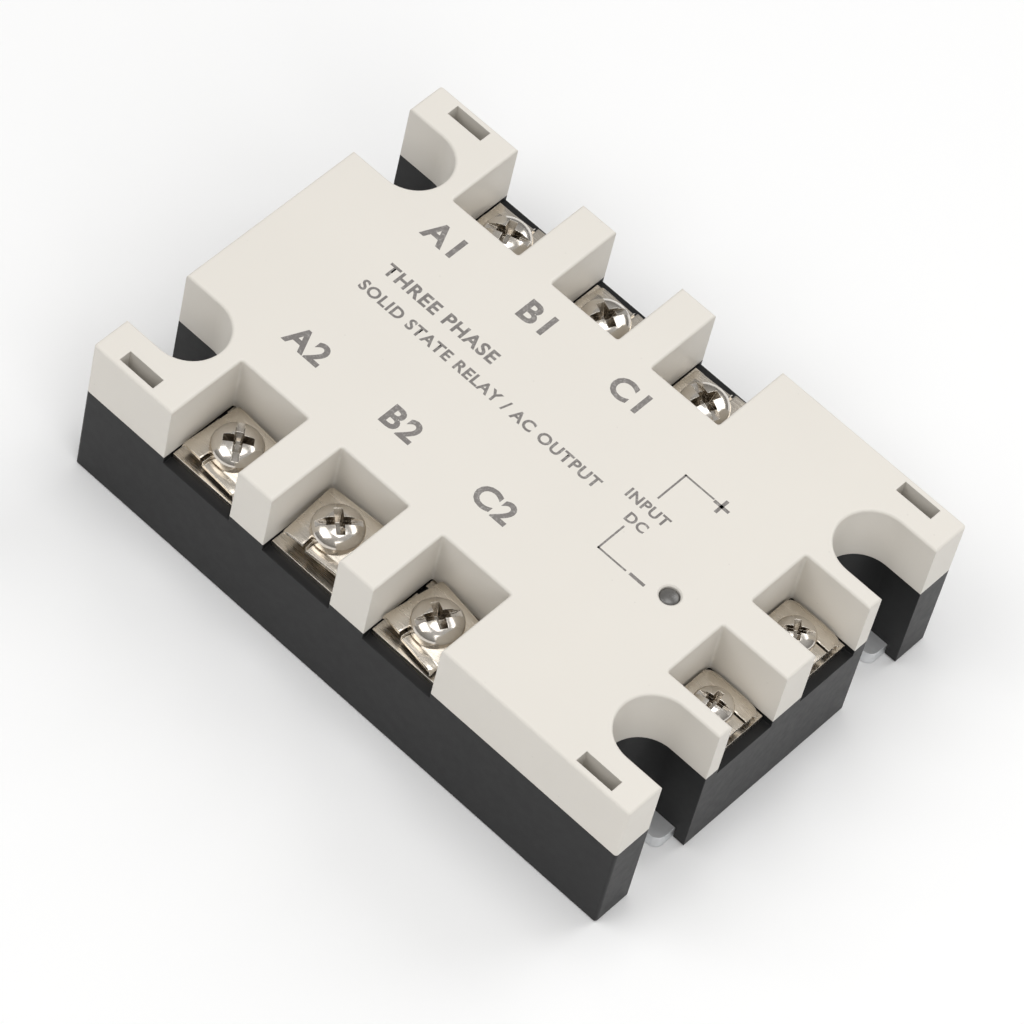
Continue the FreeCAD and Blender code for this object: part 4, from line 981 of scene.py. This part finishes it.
class RELAY_OT_lamp(bpy.types.Operator):
    """Make the smoky lamp with its rounded tip and flange"""
    bl_idname = "relay.lamp"
    bl_label = "Lamp"

    def execute(self, context):
        low, high = (Vector(corner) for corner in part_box("led_lamp"))
        middle = (low + high) / 2
        body_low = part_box("led_spacer")[1][2]
        rim, shoulder = body_low + FLANGE_RIM, high.z - LAMP_TIP
        profile = [(0.0, body_low), (FLANGE_RADIUS, body_low), (FLANGE_RADIUS, rim),
                   (LAMP_RADIUS, rim), (LAMP_RADIUS, shoulder)]
        for step in range(1, LAMP_STEPS + 1):
            angle = math.pi / 2 * step / LAMP_STEPS
            profile.append((LAMP_RADIUS * math.cos(angle),
                            shoulder + LAMP_TIP * math.sin(angle)))
        profile[-1] = (0.0, high.z)
        shape = bmesh.new()
        line = [shape.verts.new((x, 0.0, z)) for x, z in profile]
        for here, after in zip(line, line[1:]):
            shape.edges.new((here, after))
        bmesh.ops.spin(shape, geom=shape.verts[:] + shape.edges[:], cent=(0, 0, 0),
                       axis=(0, 0, 1), angle=2 * math.pi, steps=48)
        for side in (-1, 1):
            bmesh.ops.create_cube(shape, size=1.0, matrix=Matrix.Translation(
                (side * LEG_PLACE, 0.0, (low.z + body_low) / 2)) @ Matrix.Diagonal(
                    (LEG_SIDE, LEG_SIDE, body_low - low.z, 1.0)))
        mesh = mesh_from(shape, "lamp")
        shifted(mesh, Matrix.Translation((middle.x, middle.y, 0.0)))
        smooth(mesh, math.radians(35))
        mesh.materials.append(smoky_lens(tuple(context.scene.relay_finishes.lens)))
        piece = add_object("lamp", mesh)
        finish_piece(piece, "root", "lamp_lens", "led_lamp")
        return {"FINISHED"}


class RELAY_OT_stage(bpy.types.Operator):
    """Set the plain floor, the soft lights and the camera"""
    bl_idname = "relay.stage"
    bl_label = "Studio"

    def execute(self, context):
        studio = context.scene.relay_studio
        self.floor(tuple(studio.floor_colour))
        world = bpy.data.worlds.new("studio_air")
        world.use_nodes = True
        tree = world.node_tree
        sky = tree.nodes["Background"]
        place = tree.nodes.new("ShaderNodeTexCoord")
        height = tree.nodes.new("ShaderNodeSeparateXYZ")
        fade = tree.nodes.new("ShaderNodeMapRange")
        for socket, number in (("From Min", 0.05), ("From Max", 0.95),
                               ("To Min", SKY_LOW), ("To Max", SKY_HIGH)):
            fade.inputs[socket].default_value = number
        tree.links.new(place.outputs["Generated"], height.inputs[0])
        tree.links.new(height.outputs["Z"], fade.inputs["Value"])
        tree.links.new(fade.outputs["Result"], sky.inputs["Strength"])
        sky.inputs["Color"].default_value = (1.0, 0.995, 0.985, 1.0)
        context.scene.world = world
        context.scene.view_settings.view_transform = "Standard"
        for name, place, size, part in LIGHTS:
            self.softbox(name, place, size, studio.light_power * part)
        lens = bpy.data.cameras.new("view")
        lens.lens = studio.lens_length
        lens.sensor_width = 36.0
        lens.clip_start = 0.05
        camera = bpy.data.objects.new("view", lens)
        camera.location = CAMERA_PLACE
        camera.rotation_mode = "QUATERNION"
        camera.rotation_quaternion = Quaternion(CAMERA_TURN)
        context.scene.collection.objects.link(camera)
        context.scene.camera = camera
        return {"FINISHED"}

    @staticmethod
    def floor(paint):
        """A wide plain floor under the plate."""
        shape = bmesh.new()
        bmesh.ops.create_grid(shape, x_segments=8, y_segments=8, size=3.0)
        mesh = bpy.data.meshes.new("studio_floor")
        shape.to_mesh(mesh)
        shape.free()
        finish = Finish("floor_paint", paint, 0.8)
        finish.tint(finish.remap(finish.noise(6.0), (0.4, 0.7), (0.0, 0.2)), shade(paint, 0.98))
        mesh.materials.append(finish.material)
        ground = add_object("studio_floor", mesh)
        ground.location.z = -0.0001

    @staticmethod
    def softbox(name, place, size, power):
        """A square area light aimed at the relay."""
        light = bpy.data.lights.new(name, "AREA")
        light.shape = "SQUARE"
        light.size = size
        light.energy = power
        lamp = bpy.data.objects.new(name, light)
        lamp.location = place
        aim = Vector((0.0, 0.0, 0.01)) - Vector(place)
        lamp.rotation_euler = aim.to_track_quat("-Z", "Y").to_euler()
        bpy.context.scene.collection.objects.link(lamp)


class RELAY_PT_panel(bpy.types.Panel):
    """Shows the relay's operator buttons and settings in the 3D view's sidebar."""
    bl_idname = "RELAY_PT_panel"
    bl_label = "Solid State Relay"
    bl_space_type = "VIEW_3D"
    bl_region_type = "UI"
    bl_category = "Relay"

    def draw(self, context):
        for operator in OPERATORS:
            self.layout.operator(operator.bl_idname)
        for group in (context.scene.relay_finishes, context.scene.relay_screws,
                      context.scene.relay_studio):
            box = self.layout.box()
            for field in group.bl_rna.properties.keys():
                if field not in {"rna_type", "name"}:
                    box.prop(group, field)


OPERATORS = (RELAY_OT_finishes, RELAY_OT_washers, RELAY_OT_screws, RELAY_OT_marks,
             RELAY_OT_lamp, RELAY_OT_stage)
GROUPS = {"relay_finishes": RelayFinishes, "relay_screws": RelayScrews,
          "relay_studio": RelayStudio}


def register():
    """Register the property groups, operators and panel."""
    for field, group in GROUPS.items():
        bpy.utils.register_class(group)
        setattr(bpy.types.Scene, field, bpy.props.PointerProperty(type=group))
    for operator in OPERATORS:
        bpy.utils.register_class(operator)
    bpy.utils.register_class(RELAY_PT_panel)


def unregister():
    """Undo register."""
    bpy.utils.unregister_class(RELAY_PT_panel)
    for operator in reversed(OPERATORS):
        bpy.utils.unregister_class(operator)
    for field, group in GROUPS.items():
        delattr(bpy.types.Scene, field)
        bpy.utils.unregister_class(group)


def main():
    """Make every piece."""
    register()
    bpy.ops.relay.finishes()
    bpy.ops.relay.washers()
    bpy.ops.relay.screws()
    bpy.ops.relay.marks()
    bpy.ops.relay.lamp()
    bpy.ops.relay.stage()


if __name__ == "__main__":
    main()
